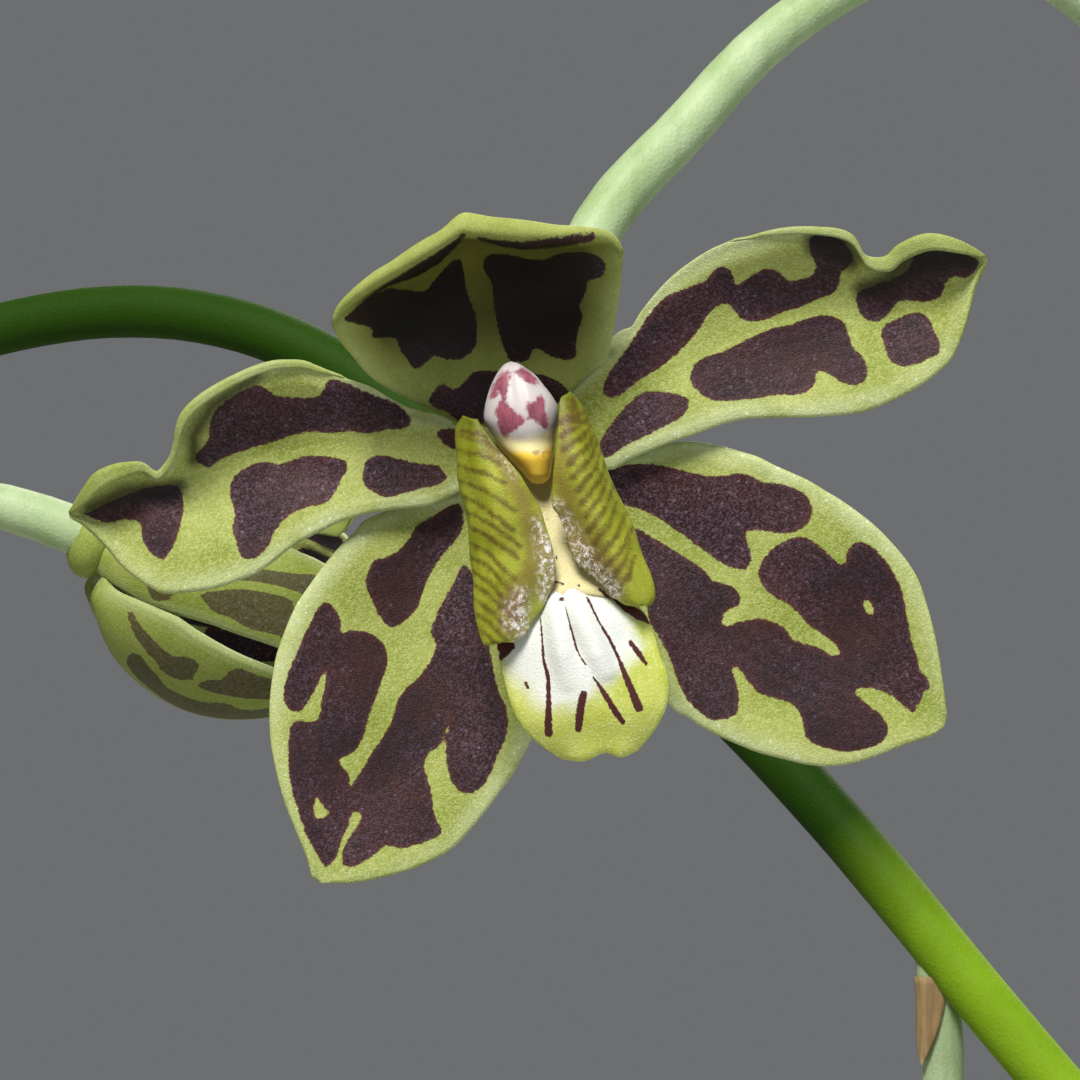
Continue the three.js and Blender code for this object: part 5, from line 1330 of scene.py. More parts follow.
def tepalMaterial():
    newMaterial("tepalFlesh")
    depth, rim, outer, hooded, shade = (field(k) for k in ("depth", "rim", "outer", "hooded", "shade"))
    place = objectPlace()
    cells = useGroup(cellSparkle, {"Cell size": 0.00011, "Share lit": 0.4})
    fine = useGroup(cellSparkle, {"Cell size": 0.00024, "Share lit": 0.16})
    edge = useGroup(raggedEdge, {"Depth": depth, "Ragged": 0.16, "Grain size": 0.00026, "Softness": 0.05})
    veins = useGroup(parallelVeins, {"Count": 17.0, "Wander": 0.5})
    # the flesh: yellow green, greener in soft patches, paler towards the margins
    patch = noise(place, 190.0, 3.0, 0.55)
    flesh = mixed(ramp(patch, 0.35, 0.68), tint(124, 138, 46), tint(158, 168, 88))
    flesh = mixed(times(veins["Line"], 0.05), flesh, tint(120, 145, 45))
    along = bladeShare(0)
    paler = times(ramp(rim, 0.1, 1.7, 1.0, 0.0, soft), ramp(noise(place, 320.0), 0.32, 0.5, 0.3, 1.0))
    paler = times(paler, ramp(along, 0.55, 0.95, 1.0, 0.3))
    paler = times(paler, ramp(hooded, 0.0, 1.0, 1.0, 0.25))
    flesh = mixed(times(paler, 0.62), flesh, tint(188, 200, 158))
    # pale cells grain the flesh, partly standing for painted sparkle, weaker on the hood
    grain = times(ramp(cells["Tone"], 0.3, 1.0, 0.0, 0.3), ramp(hooded, 0.0, 1.0, 1.0, 0.4))
    flesh = mixed(grain, flesh, tint(216, 222, 160))
    glint = times(fine["Glint"], plus(0.08, times(paler, 0.8)))
    flesh = mixed(glint, flesh, tint(244, 248, 236))
    # the blotches: maroon, browner in patches and at their edges, with cells that glint grey violet
    brown = ramp(noise(place, 240.0, 3.0, 0.6), 0.42, 0.66)
    blotch = mixed(brown, tint(32, 15, 20), tint(50, 21, 20))
    edging = ramp(edge["Depth"], 0.0, 0.32, 1.0, 0.0)
    blotch = mixed(times(edging, 0.5), blotch, tint(80, 36, 24))
    sheen = ramp(noise(place, 150.0, 2.0), 0.3, 0.65, 0.08, 0.45)
    speck = ramp(cells["Tone"], 0.35, 1.0)
    blotch = mixed(times(speck, sheen), blotch, tint(118, 88, 106))
    strength = ramp(outer, 0.0, 1.0, 1.0, 0.78)
    mask = times(edge["Mask"], strength)
    flesh = mixed(times(outer, 0.45), flesh, tint(112, 130, 40))
    # painted shade darkens the inner side of the hood, under its rim, and it has few glints there
    deep = times(less(hooded, outer, True), ramp(rim, 0.4, 2.6))
    deep = times(deep, ramp(along, 0.12, 0.34, kind=soft))
    blotch = mixed(deep, blotch, tint(20, 8, 2))
    lit = times(times(fine["Glint"], sheen), less(1.0, deep))
    blotch = mixed(lit, blotch, tint(176, 164, 190))
    colour = mixed(mask, flesh, blotch)
    colour = mixed(times(deep, 0.9), colour, tint(124, 112, 12), "MULTIPLY")
    # little light gets in under the rolled margins
    hidden = times(ramp(shade, -0.7, 0.3, kind=soft), 0.9)
    colour = mixed(hidden, colour, tint(70, 62, 28), "MULTIPLY")
    rough = ramp(fine["Glint"], 0.0, 1.0, 0.6, 0.34)
    domes = bump(plus(cells["Dome"], times(fine["Glint"], 0.6)), 0.5, 0.00004)
    ribs = bump(veins["Ridge"], 0.05, 0.0002, domes)
    return finished({
        "Base Color": colour, "Roughness": rough, "Subsurface Weight": 0.08,
        "Subsurface Radius": (0.8, 1.0, 0.3), "Subsurface Scale": 0.0012, "Specular IOR Level": 0.28,
        "Normal": ribs
    })


def lipMaterial():
    newMaterial("lipFlesh")
    stripe, fuzz, white, lines = (field(k) for k in ("stripe", "fuzz", "white", "lines"))
    lobe, brown = field("lobe"), field("brown")
    place = objectPlace()
    cells = useGroup(cellSparkle, {"Cell size": 0.00015, "Share lit": 0.3})
    band = useGroup(raggedEdge, {"Depth": stripe, "Ragged": 0.24, "Grain size": 0.0005, "Softness": 0.17})
    stroke = useGroup(raggedEdge, {"Depth": lines, "Ragged": 0.12, "Grain size": 0.00022, "Softness": 0.035})
    merged = useGroup(raggedEdge, {"Depth": brown, "Ragged": 0.55, "Grain size": 0.0007, "Softness": 0.4})
    patch = noise(place, 420.0, 3.0, 0.6)
    olive = mixed(ramp(patch, 0.35, 0.65), tint(122, 130, 16), tint(160, 166, 52))
    along = bladeShare(0)
    knob = times(ramp(along, 0.03, 0.2, 0.85, 0.0), ramp(patch, 0.3, 0.6, 0.6, 1.0))
    olive = mixed(knob, olive, tint(84, 88, 4))
    olive = mixed(times(merged["Mask"], 0.6), olive, tint(112, 86, 42))
    olive = mixed(times(band["Mask"], 0.8), olive, tint(78, 56, 14))
    woolly = ramp(fuzz, -0.7, 0.3, kind=soft)
    speck = ramp(noise(place, 3000.0, 3.0, 0.65), 0.46, 0.62)
    wool = mixed(speck, tint(150, 122, 108), tint(236, 232, 228))
    olive = mixed(times(woolly, ramp(speck, 0.0, 1.0, 0.45, 0.95)), olive, wool)
    yellow = mixed(ramp(patch, 0.3, 0.7), tint(172, 182, 62), tint(200, 208, 112))
    yellow = mixed(times(cells["Glint"], 0.5), yellow, tint(242, 246, 210))
    pale = ramp(plus(white, times(less(patch, 0.5), 2.2)), -0.9, 0.6, kind=soft)
    throatward = ramp(along, 0.04, 0.2, 0.8, 0.0, soft)
    milk = mixed(throatward, tint(214, 218, 214), tint(204, 200, 158))
    milk = mixed(ramp(lobe, 0.1, 0.25), milk, tint(204, 196, 144))
    blade = mixed(pale, yellow, milk)
    blade = mixed(stroke["Mask"], blade, tint(70, 26, 24))
    colour = mixed(ramp(lobe, 0.6, 0.8), blade, olive)
    grain = noise(place, 3200.0, 3.0, 0.6)
    tufts = times(grain, plus(woolly, 0.05))
    height = plus(tufts, times(cells["Dome"], 0.25))
    return finished({
        "Base Color": colour, "Roughness": 0.55, "Specular IOR Level": 0.35, "Subsurface Weight": 0.15,
        "Subsurface Radius": (0.9, 1.0, 0.5), "Subsurface Scale": 0.001,
        "Normal": bump(height, 0.6, 0.00012)
    })


def columnMaterial():
    newMaterial("columnWax")
    spots, level = field("spots"), field("level")
    place = objectPlace()
    edge = useGroup(raggedEdge, {"Depth": spots, "Ragged": 0.3, "Grain size": 0.0004, "Softness": 0.12})
    wobble = times(less(noise(place, 900.0), 0.5), 0.9)
    height = plus(level, wobble)
    body = mixed(ramp(height, -0.4, 0.5, kind=soft), tint(230, 220, 164), tint(190, 184, 186))
    body = mixed(ramp(height, -1.1, -0.6, kind=soft), tint(255, 212, 80), body)
    streaks = streaked(place, 3600.0, 900.0, 3.0, 0.7)
    purple = mixed(ramp(streaks, 0.35, 0.65), tint(104, 30, 55), tint(152, 68, 92))
    colour = mixed(times(edge["Mask"], 0.92), body, purple)
    return finished({
        "Base Color": colour, "Roughness": 0.42, "Specular IOR Level": 0.3, "Subsurface Weight": 0.25,
        "Subsurface Radius": (1.0, 0.8, 0.7), "Subsurface Scale": 0.0012,
        "Normal": bump(streaks, 0.12, 0.0001)
    })


def greenMaterial(name, dark, pale, gloss, paintedGlint=0.25, shine=0.3, shadeTint=None):
    newMaterial(name)
    place = objectPlace()
    wear = useGroup(wornSurface, {"Patch size": 0.012, "Grain size": 0.0004})
    cells = useGroup(cellSparkle, {"Cell size": 0.00025, "Share lit": 0.25})
    colour = mixed(ramp(wear["Patches"], 0.3, 0.7), dark, pale)
    # painted glints: cells that catch the light are lightened into the colour
    colour = mixed(times(cells["Glint"], paintedGlint), colour, tint(225, 238, 190))
    streak = streaked(place, 900.0, 120.0, 2.0)
    colour = mixed(ramp(streak, 0.55, 0.75, 0.0, 0.22), colour, tint(92, 132, 30))
    # painted shade: the stem is darkened from just behind the front flower, where that flower's shadow falls,
    # along the arch that lies out of the light, easing off towards the tip
    if shadeTint:
        share = field("share")
        paintedShade = times(ramp(share, 0.615, 0.634), ramp(share, 0.74, 0.8, 0.94, 0.3))
        colour = mixed(paintedShade, colour, shadeTint)
    return finished({
        "Base Color": colour, "Roughness": gloss, "Specular IOR Level": shine, "Subsurface Weight": 0.12,
        "Subsurface Radius": (0.6, 1.0, 0.25), "Subsurface Scale": 0.0015,
        "Normal": bump(plus(streak, cells["Dome"]), 0.22, 0.0001)
    })


def leafMaterial():
    newMaterial("leafBlade")
    place = objectPlace()
    outer, rim, share = field("outer"), field("rim"), field("share")
    veins = useGroup(parallelVeins, {"Count": 26.0, "Wander": 0.25})
    wear = useGroup(wornSurface, {"Patch size": 0.045, "Grain size": 0.0011})
    colour = mixed(ramp(wear["Patches"], 0.3, 0.72), tint(44, 88, 26), tint(84, 126, 40))
    colour = mixed(times(veins["Line"], 0.35), colour, tint(126, 160, 66))
    across = bladeShare(1)
    rib = ramp(calc("ABSOLUTE", less(across, 0.5)), 0.0, 0.035, 1.0, 0.0, soft)
    colour = mixed(times(rib, 0.55), colour, tint(140, 168, 74))
    colour = mixed(times(outer, 0.45), colour, tint(118, 150, 74))
    foot = ramp(share, 0.0, 0.16, 1.0, 0.0, soft)
    colour = mixed(times(foot, 0.7), colour, tint(158, 172, 88))
    tip = ramp(plus(share, times(wear["Patches"], 0.03)), 0.985, 1.01)
    edge = times(ramp(rim, 0.0, 0.9, 1.0, 0.0), ramp(wear["Grain"], 0.5, 0.62))
    colour = mixed(calc("MAXIMUM", tip, times(edge, 0.6)), colour, tint(140, 104, 58))
    specks = ramp(noise(place, 520.0, 2.0, 0.5), 0.66, 0.72)
    colour = mixed(times(specks, 0.35), colour, tint(52, 52, 24))
    under = bump(wear["Grain"], 0.1, 0.0002)
    return finished({
        "Base Color": colour, "Roughness": ramp(wear["Grain"], 0.3, 0.7, 0.3, 0.46),
        "Subsurface Weight": 0.08, "Subsurface Radius": (0.4, 1.0, 0.2), "Subsurface Scale": 0.002,
        "Coat Weight": 0.12, "Coat Roughness": 0.35, "Normal": bump(veins["Ridge"], 0.22, 0.0003, under)
    })


def bulbMaterial():
    newMaterial("bulbSkin")
    place = objectPlace()
    share, groove = field("share"), field("groove")
    wear = useGroup(wornSurface, {"Patch size": 0.02, "Grain size": 0.0008})
    colour = mixed(ramp(wear["Patches"], 0.3, 0.7), tint(110, 124, 44), tint(158, 164, 76))
    colour = mixed(times(groove, 0.55), colour, tint(84, 92, 34))
    lines = streaked(place, 700.0, 45.0, 3.0, 0.6)
    colour = mixed(ramp(lines, 0.5, 0.72, 0.0, 0.4), colour, tint(176, 174, 112))
    foot = ramp(share, 0.02, 0.4, 1.0, 0.0, soft)
    dry = times(foot, ramp(wear["Patches"], 0.35, 0.6))
    colour = mixed(times(dry, 0.75), colour, tint(140, 112, 70))
    colour = mixed(ramp(wear["Pits"], 0.0, 1.0, 0.16, 0.0), colour, tint(64, 54, 32))
    under = bump(wear["Grain"], 0.25, 0.0004)
    return finished({
        "Base Color": colour, "Roughness": ramp(wear["Grain"], 0.3, 0.7, 0.42, 0.62),
        "Subsurface Weight": 0.06, "Subsurface Scale": 0.003, "Normal": bump(lines, 0.3, 0.0006, under)
    })


def paperMaterial():
    newMaterial("paperyBract")
    place = objectPlace()
    wear = useGroup(wornSurface, {"Patch size": 0.009, "Grain size": 0.0006})
    fibres = streaked(place, 1400.0, 60.0, 3.0, 0.65)
    colour = mixed(ramp(wear["Patches"], 0.3, 0.7), tint(128, 98, 62), tint(186, 162, 116))
    colour = mixed(ramp(fibres, 0.42, 0.7, 0.0, 0.6), colour, tint(92, 66, 40))
    return finished({"Base Color": colour, "Roughness": 0.78, "Normal": bump(fibres, 0.5, 0.0005)})


def barkMaterial():
    newMaterial("firBark")
    place = objectPlace()
    wear = useGroup(wornSurface, {"Patch size": 0.011, "Grain size": 0.0012})
    tone = field("tone")
    layers = streaked(place, 160.0, 620.0, 4.0, 0.65)
    colour = mixed(ramp(wear["Patches"], 0.25, 0.75), tint(62, 40, 27), tint(124, 84, 54))
    colour = mixed(ramp(tone, 0.55, 1.0), colour, tint(168, 118, 78))
    colour = mixed(ramp(tone, 0.0, 0.4, 0.75, 0.0), colour, tint(74, 60, 50))
    colour = mixed(ramp(layers, 0.4, 0.7, 0.0, 0.75), colour, tint(96, 58, 34))
    colour = mixed(ramp(wear["Grain"], 0.58, 0.75, 0.0, 0.7), colour, tint(176, 142, 100))
    colour = mixed(ramp(wear["Pits"], 0.0, 1.0, 0.5, 0.0), colour, tint(28, 18, 12))
    under = bump(wear["Grain"], 0.6, 0.0009)
    return finished({"Base Color": colour, "Roughness": 0.9, "Normal": bump(layers, 0.7, 0.0018, under)})


def clayMaterial():
    newMaterial("firedClay")
    place = objectPlace()
    wear = useGroup(wornSurface, {"Patch size": 0.05, "Grain size": 0.0009})
    heights = node("ShaderNodeSeparateXYZ", {0: place}).outputs[2]
    rings = streaked(place, 4.0, 420.0, 3.0, 0.6)
    colour = mixed(ramp(wear["Patches"], 0.28, 0.72), tint(164, 88, 54), tint(196, 118, 78))
    colour = mixed(ramp(rings, 0.45, 0.75, 0.0, 0.4), colour, tint(206, 136, 96))
    bloomAt = plus(heights, times(wear["Patches"], 0.09))
    low = ramp(bloomAt, 0.045, 0.11, 1.0, 0.0, soft)
    upper = ramp(bloomAt, 0.195, 0.245, 0.0, 0.7, soft)
    lime = times(calc("MAXIMUM", low, upper), ramp(noise(place, 60.0, 5.0, 0.7), 0.38, 0.66))
    colour = mixed(times(lime, 0.7), colour, tint(226, 204, 182))
    damp = ramp(noise(place, 17.0, 3.0, 0.5), 0.56, 0.7, 0.0, 0.5)
    colour = mixed(damp, colour, tint(128, 66, 42))
    colour = mixed(ramp(wear["Pits"], 0.0, 1.0, 0.3, 0.0), colour, tint(96, 48, 32))
    under = bump(wear["Grain"], 0.35, 0.0006)
    return finished({
        "Base Color": colour, "Roughness": ramp(wear["Grain"], 0.3, 0.7, 0.82, 0.95),
        "Normal": bump(rings, 0.35, 0.0009, under)
    })


def rootMaterial():
    newMaterial("aerialRoot")
    wear = useGroup(wornSurface, {"Patch size": 0.008, "Grain size": 0.0005})
    share = field("share")
    colour = mixed(ramp(wear["Patches"], 0.3, 0.7), tint(176, 172, 152), tint(214, 212, 196))
    tip = ramp(share, 0.9, 1.0)
    colour = mixed(tip, colour, tint(122, 146, 62))
    colour = mixed(ramp(wear["Grain"], 0.6, 0.75, 0.0, 0.5), colour, tint(118, 100, 72))
    return finished({"Base Color": colour, "Roughness": 0.85, "Normal": bump(wear["Grain"], 0.4, 0.0003)})


def hairMaterial():
    newMaterial("lipHair")
    tone = noise(objectPlace(), 5000.0, 1.0)
    return finished({"Base Color": mixed(tone, tint(186, 170, 156), tint(240, 238, 234)), "Roughness": 0.4})


skins = {
    "tepal": tepalMaterial(),
    "lip": lipMaterial(),
    "column": columnMaterial(),
    "stalk": greenMaterial("stalkGreen", tint(144, 170, 116), tint(190, 208, 172), 0.5, 0.15),
    "stem": greenMaterial(
        "stemGreen", tint(112, 151, 14), tint(138, 176, 38), 0.65, 0.03, 0.1, tint(6, 46, 0)
    ),
    "bud": greenMaterial("budGreen", tint(112, 140, 40), tint(170, 182, 84), 0.45),
    "leaf": leafMaterial(),
    "bulb": bulbMaterial(),
    "paper": paperMaterial(),
    "bark": barkMaterial(),
    "clay": clayMaterial(),
    "root": rootMaterial(),
    "hair": hairMaterial(),
}
print("materials built", flush=True)

# ---- where everything stands, in millimetres

bloomAt = np.array([-130.0, -150.0, 640.0])
golden = 137.5  # degrees from each bud or root to the next
bulbs = [
    {
        "name": "front", "at": (8, -34), "height": 128, "radius": 27, "turn": 80, "lean": 5,
        "leaves": [(243, 12, 95, 290), (268, 27, 122, 280)],
    },
    {
        "name": "right", "at": (58, 14), "height": 142, "radius": 28, "turn": 18, "lean": 9,
        "leaves": [(-44, 24, 118, 330), (-14, 9, 78, 300), (16, 27, 126, 330), (48, 12, 100, 330)],
    },
    {
        "name": "left", "at": (-52, 12), "height": 136, "radius": 28, "turn": -12, "lean": 9,
        "leaves": [(226, 24, 116, 320), (194, 9, 82, 300), (164, 27, 124, 330), (132, 12, 98, 330)],
    },
    {
        "name": "old", "at": (4, 58), "height": 104, "radius": 25, "turn": 86, "lean": 7,
        "leaves": [(72, 11, 92, 340), (106, 25, 118, 310)],
    },
]
spikes = [
    {
        "name": "spike_right",
        "line": [
            (-30, -58, 164), (-56, -88, 290), (-77, -105, 420), (-88, -116, 550), (-89, -123, 661),
            (-77, -120, 742), (-38, -104, 815), (28, -82, 858), (103, -60, 866), (168, -42, 835),
            (208, -32, 788),
        ],
        "radius": [3.4, 2.6, 2.2, 2.0, 1.4],
        "shares": (0, 0.6),
        "flowers": [
            (440, 95, -6), (548, 62, 2), (590, 300, 4), (632, 130, 0), (674, 335, -4), (716, 160, -2),
            (760, 12, -8),
        ],
        "budStep": 17,
    },
    {
        "name": "spike_left",
        "line": [
            (44, -54, 164), (64, -96, 280), (56, -124, 385), (16, -131, 478), (-45, -122, 542),
            (-95.8, -110, 597.7), (-112, -100, 617.6), (-143.6, -88, 646.8), (-156.9, -82, 650.9),
            (-169.5, -78, 650), (-206, -70, 633), (-242, -64, 592), (-266, -60, 535), (-276, -58, 470),
        ],
        "radius": [3.3, 2.3, 1.95, 1.9, 1.3],
        "shares": (0, 1),
        "flowers": [
            (362, 42, -2), (402, 200, 2), (440, 350, -8), (512, "hanging", 0), (630, "opening", 0),
            (664, 300, -6), (704, 55, -14),
        ],
        "budStep": 16,
    },
]
placed = {
    "hanging": {
        "at": (-117, -119, 560), "turn": 330, "dip": 0.35, "scale": 0.92, "curl": 0, "leave": (3, 0, -16),
    },
    "opening": {
        "at": (-160.8, -75.6, 633.1), "turn": 100, "dip": 0.25, "scale": 1, "curl": 2.8, "leave": (1, 0, -8),
    },
}


# a line with its small wobbles smoothed out over a reach in millimetres, its ends kept
def eased(line, reach):
    fine = evenly(line, 240)
    side = max(1, int(reach / lengthOf(line) * 240 / 2))
    for _ in range(3):
        padded = np.concatenate([2 * fine[:1] - fine[side:0:-1], fine, 2 * fine[-1:] - fine[-2:-side - 2:-1]])
        sums = np.cumsum(np.concatenate([np.zeros((1, 3)), padded]), axis=0)
        fine = (sums[2 * side + 1:] - sums[:-2 * side - 1]) / (2 * side + 1)
    return fine


for spike in spikes:
    spike["line"] = eased(np.array(spike["line"], float), 14)


def draw(n):
    return abs(math.sin(n * 12.9898 + 4.1414) * 43758.5453) % 1


def shareAt(line, distance, count=400):
    fine = pickAt(line, np.linspace(0, 1, count + 1))
    run = np.cumsum(np.linalg.norm(np.diff(fine, axis=0), axis=1))
    found = np.nonzero(run >= distance)[0]
    return (found[0] + 1) / count if len(found) else 1.0


def unit(vector):
    vector = np.asarray(vector, float)
    return vector / max(np.linalg.norm(vector), 1e-9)


def radiusAt(spike, t):
    return float(np.interp(t, np.linspace(0, 1, len(spike["radius"])), spike["radius"]))


def seatOn(spike, distance, turn):
    line = np.array(spike["line"], float)
    t = shareAt(line, distance)
    at, after, before = pickAt(line, np.array([t, min(t + 0.002, 1), max(t - 0.002, 0)]))
    way = unit(after - before)
    a = math.radians(turn)
    level = np.array([math.sin(a), -math.cos(a), 0.0])
    return at, way, unit(level - way * (level @ way)), radiusAt(spike, t)


# a flower's place as three axes times its size, and its heart
def bloomFrame(at, facing, dip, scale):
    face = unit([facing[0] * math.cos(dip), facing[1] * math.cos(dip), -math.sin(dip)])
    back = -face
    right = unit(np.cross(back, [0, 0, 1]))
    up = np.cross(right, back)
    return np.stack([right, back, up]) * scale, np.asarray(at, float)


def bezier(a, b, c, d, count=7):
    t = np.linspace(0, 1, count)[:, None]
    return (1 - t) ** 3 * a + 3 * (1 - t) ** 2 * t * b + 3 * (1 - t) * t**2 * c + t**3 * d


def flowersOf(spike):
    found = []
    for k, (distance, turn, rise) in enumerate(spike["flowers"]):
        own = placed.get(turn) if isinstance(turn, str) else None
        heading = own["turn"] if own else turn
        facing = math.radians(heading)
        at, way, out, thick = seatOn(spike, distance, heading)
        level = np.array([math.sin(facing), -math.cos(facing), 0.0])
        reach = 36 + 8 * draw(k + spike["radius"][0])
        heart = np.array(own["at"], float) if own else at + level * reach + [0, 0, rise]
        scale = own["scale"] if own else 0.94 + 0.1 * draw(k * 3 + spike["radius"][1])
        axes, heart = bloomFrame(heart, level, own["dip"] if own else 0.12 + 0.2 * draw(k + 3), scale)
        foot = np.array([-0.8, 3.2, 0.6]) @ axes + heart
        away = unit(np.array([0, 14.0, 4.0]) @ axes) * 14
        outward = np.array(own["leave"], float) if own else out * 14
        start = unit(outward - way * (outward @ way))
        base = at + start * thick * 0.5
        found.append({
            "name": f"{spike['name']}_flower_{k + 1}", "axes": axes, "heart": heart,
            "seed": 1 + k + len(found), "curl": own["curl"] if own else 0,
            "stalk": bezier(base, base + outward, foot + away, foot),
            "node": at, "way": way, "out": out, "thick": thick,
        })
    return found


def partsMesh(name, parts, axes=None, heart=None):
    points, faces, fields, spread = joinParts(parts)
    if axes is not None:
        points = points @ axes + heart
    mesh = makeMesh(name, points, faces, fields, spread)
    facesOut(mesh)
    return mesh


def addParts(name, parts, skin, slot, stands=(), axes=None, heart=None):
    addPiece(name, partsMesh(name, parts, axes, heart), skins[skin], stands)


# a piece of stems along lines; height and size are those of its lumps
def addStems(name, strands, skin, look, stands=()):
    sides, step, height, size, seed = look
    values = {
        "Sides": sides, "Step": step, "Lump height": height, "Lump size": size, "Seed": seed,
        "Material": skins[skin],
    }
    addPiece(
        name, grown(name, linesMesh(name + "Lines", strands), stemNodes, values), skins[skin], stands
    )


# ---- the front flower

level = np.eye(3)
addParts("frontTepals", perianth(True), "tepal", "tepal", ["front_flower"], level, bloomAt)
addParts("frontLip", lipMeshData(True), "lip", "lip", ["front_flower_lip"], level, bloomAt)
addParts("frontColumn", columnPart(True), "column", "column", ["front_flower_column"], level, bloomAt)

frontStalk = {
    "line": [
        (-0.9, 3.2, 0.8), (0.6, 7.5, 6.2), (4.2, 12, 14.8), (9.0, 14, 19.3), (12.4, 16, 23.8),
        (19.1, 18, 29.0), (27, 21, 32.0), (34.2, 23, 29.4), (40.4, 26.8, 23.2),
    ],
    "radii": [2.2, 1.7, 1.6, 1.5, 1.5, 1.45, 1.4],
    "smoothing": 5,
    "look": (40, 0.0006, 0.0001, 0.008, 2.0),
}
stalkLine = eased(np.array(frontStalk["line"]) + bloomAt, frontStalk["smoothing"])
addStems("frontStalk", [(stalkLine, frontStalk["radii"])], "stalk", frontStalk["look"])

# the white wool on the inner edges of the lip
wool = {"length": 0.16, "radius": 0.026, "density": 3.2e7, "closest": 0.0001}


def hairMesh(length, radius, bend, name):
    steps, sides = 3, 5
    rings = []
    for k in range(steps + 1):
        t = k / steps
        r = radius * (1 - 0.75 * t)
        turn = np.linspace(0, 2 * math.pi, sides, endpoint=False)
        rings.append(np.stack(
            [r * np.cos(turn) + bend * t * t * length, r * np.sin(turn), np.full(sides, length * t)], axis=1
        ))
    points = np.concatenate(rings + [[[bend * length, 0, length * 1.05]], [[0, 0, 0]]])
    faces = gridFaces(steps + 1, sides, closed=True, flip=True).tolist()
    for j in range(sides):
        k = (j + 1) % sides
        faces.append([steps * sides + j, steps * sides + k, len(points) - 2, len(points) - 2])
        faces.append([k, j, len(points) - 1, len(points) - 1])
    return makeMesh(name, points, faces)


def shapeSet(name, meshes):
    holder = bpy.data.collections.new(name)
    for k, mesh in enumerate(meshes):
        holder.objects.link(bpy.data.objects.new(f"{name}{k}", mesh))
    return holder


def clearSet(holder):
    for piece in list(holder.objects):
        bpy.data.objects.remove(piece)
    bpy.data.collections.remove(holder)


hairs = shapeSet("woolHair", [
    hairMesh(wool["length"], wool["radius"], b, f"hair{k}") for k, b in enumerate((0.1, 0.4, 0.7))
])
lobes = lipMeshData(True)[0]
dense = np.clip(lobes["fields"]["fuzz"] / 0.6 + 0.35, 0, 1)
seeded = makeMesh("woolGround", lobes["points"] + bloomAt, lobes["faces"], {"dense": dense})
facesOut(seeded)
values = {
    "Pieces": hairs, "Density": wool["density"], "Closest": wool["closest"], "Smallest": 0.5, "Largest": 1.2,
    "Tilt": 0.7, "Seed": 4, "Material": skins["hair"],
}
addPiece("lipWool", grown("lipWool", seeded, strewNodes, values), skins["hair"])
clearSet(hairs)
print("front flower built", flush=True)

# ---- the other flowers, with their stalks, and the stems and buds of the spikes

bud = {"count": 6, "reach": 9, "reachMore": 15, "size": 2.6, "sizeMore": 2.6, "drawnOut": 1.25, "turn": 40}
stalks = {
    "radii": [1.43, 1.45, 1.55, 1.8], "look": (16, 0.0015, 0.00012, 0.008, 5.0),
    "stemLook": (28, 0.0018, 0.00018, 0.012, 7.0),
}
sheath = {"at": (70, 170, 280), "length": 16}
hangingBract = {"from": 0.02, "to": 0.1, "out": (-1.0, -0.7, 0), "radius": 1.15, "length": 6, "width": 1.5}


def budPart(at, size, seed):
    part = eggPart((0, 0, 0), (size, size, size * bud["drawnOut"]), 26, 16)
    points = part["points"]
    turn = np.arctan2(points[:, 1], points[:, 0])
    tall = points[:, 2] / (size * bud["drawnOut"])
    seam = 1 - 0.07 * np.exp(-((np.cos(1.5 * (turn + seed)) / 0.25) ** 2)) * (1 - tall**4)
    taper = 1 - 0.18 * np.clip(tall, 0, 1) ** 2
    part["points"] = points * np.stack([seam * taper, seam * taper, np.ones(len(points))], axis=1) + at
    part["fields"] = {"share": (tall + 1) / 2}
    return part


# a small three-cornered bract that clasps a stem
def bractPart(at, way, out, radius, length, width):
    across = unit(np.cross(way, out))
    u, v = np.meshgrid(np.linspace(0, 1, 12), np.linspace(-1, 1, 13), indexing="ij")
    wrap = v * width * (1 - u**1.6) / max(radius, 0.5)
    wrap = np.clip(wrap, -2.6, 2.6)
    hold = radius * (1.12 + 0.5 * u**2) + 0.15
    grid = (
        at
        + way * (u * length)[..., None]
        + out * (np.cos(wrap) * hold)[..., None]
        + across * (np.sin(wrap) * hold)[..., None]
    )
    points, faces, _, spread = sheetShell(grid, np.full(grid.shape[:2], 0.3), 0.7)
    return asPart(points, faces, spread)


# a dry sheath clasps the stem all round and splits at its mouth
def sheathPart(spike, distance, length):
    line = np.array(spike["line"], float)
    t = np.linspace(shareAt(line, distance), shareAt(line, distance + length), 14)
    centre = pickAt(line, t)
    way = unit(centre[-1] - centre[0])
    side = unit(np.cross(way, [0.3, 0.9, 0.1]))
    other = np.cross(way, side)
    u, turn = np.meshgrid(np.linspace(0, 1, 14), np.linspace(0.25, 2 * math.pi - 0.25, 30), indexing="ij")
    hold = radiusAt(spike, t[0]) + 0.35 + 0.75 * u**1.5 + 0.12 * np.sin(turn * 5 + distance)
    around = np.cos(turn)[..., None] * side + np.sin(turn)[..., None] * other
    grid = centre[:, None, :] + around * hold[..., None]
    grid = grid + way * (u**2 * (9 * np.sin(turn * 0.5) ** 4 + 0.4 * np.sin(turn * 9)))[..., None]
    points, faces, _, spread = sheetShell(grid, np.full(grid.shape[:2], 0.35), 0.7)
    return asPart(points, faces, spread)


def budsOf(spike):
    total = lengthOf(spike["line"])
    made, strands = [], []
    for k in range(bud["count"]):
        share = k / (bud["count"] - 1)
        at, way, out, thick = seatOn(spike, total - 4 - spike["budStep"] * k, bud["turn"] + golden * k)
        tip = at + out * (bud["reach"] + bud["reachMore"] * share) + way * 5
        tip[2] -= 2 * share
        size = bud["size"] + bud["sizeMore"] * share
        made.append(budPart(tip, size, k))
        elbow = (at + tip) / 2 + way * 0.6
        strands.append(([at, elbow, tip], [0.9, 0.75, 0.9 + 0.3 * share], (0.2, 0.5)))
        bracts.append(bractPart(at, way, out, thick * 0.9, 5, 3.0))
    return made, strands


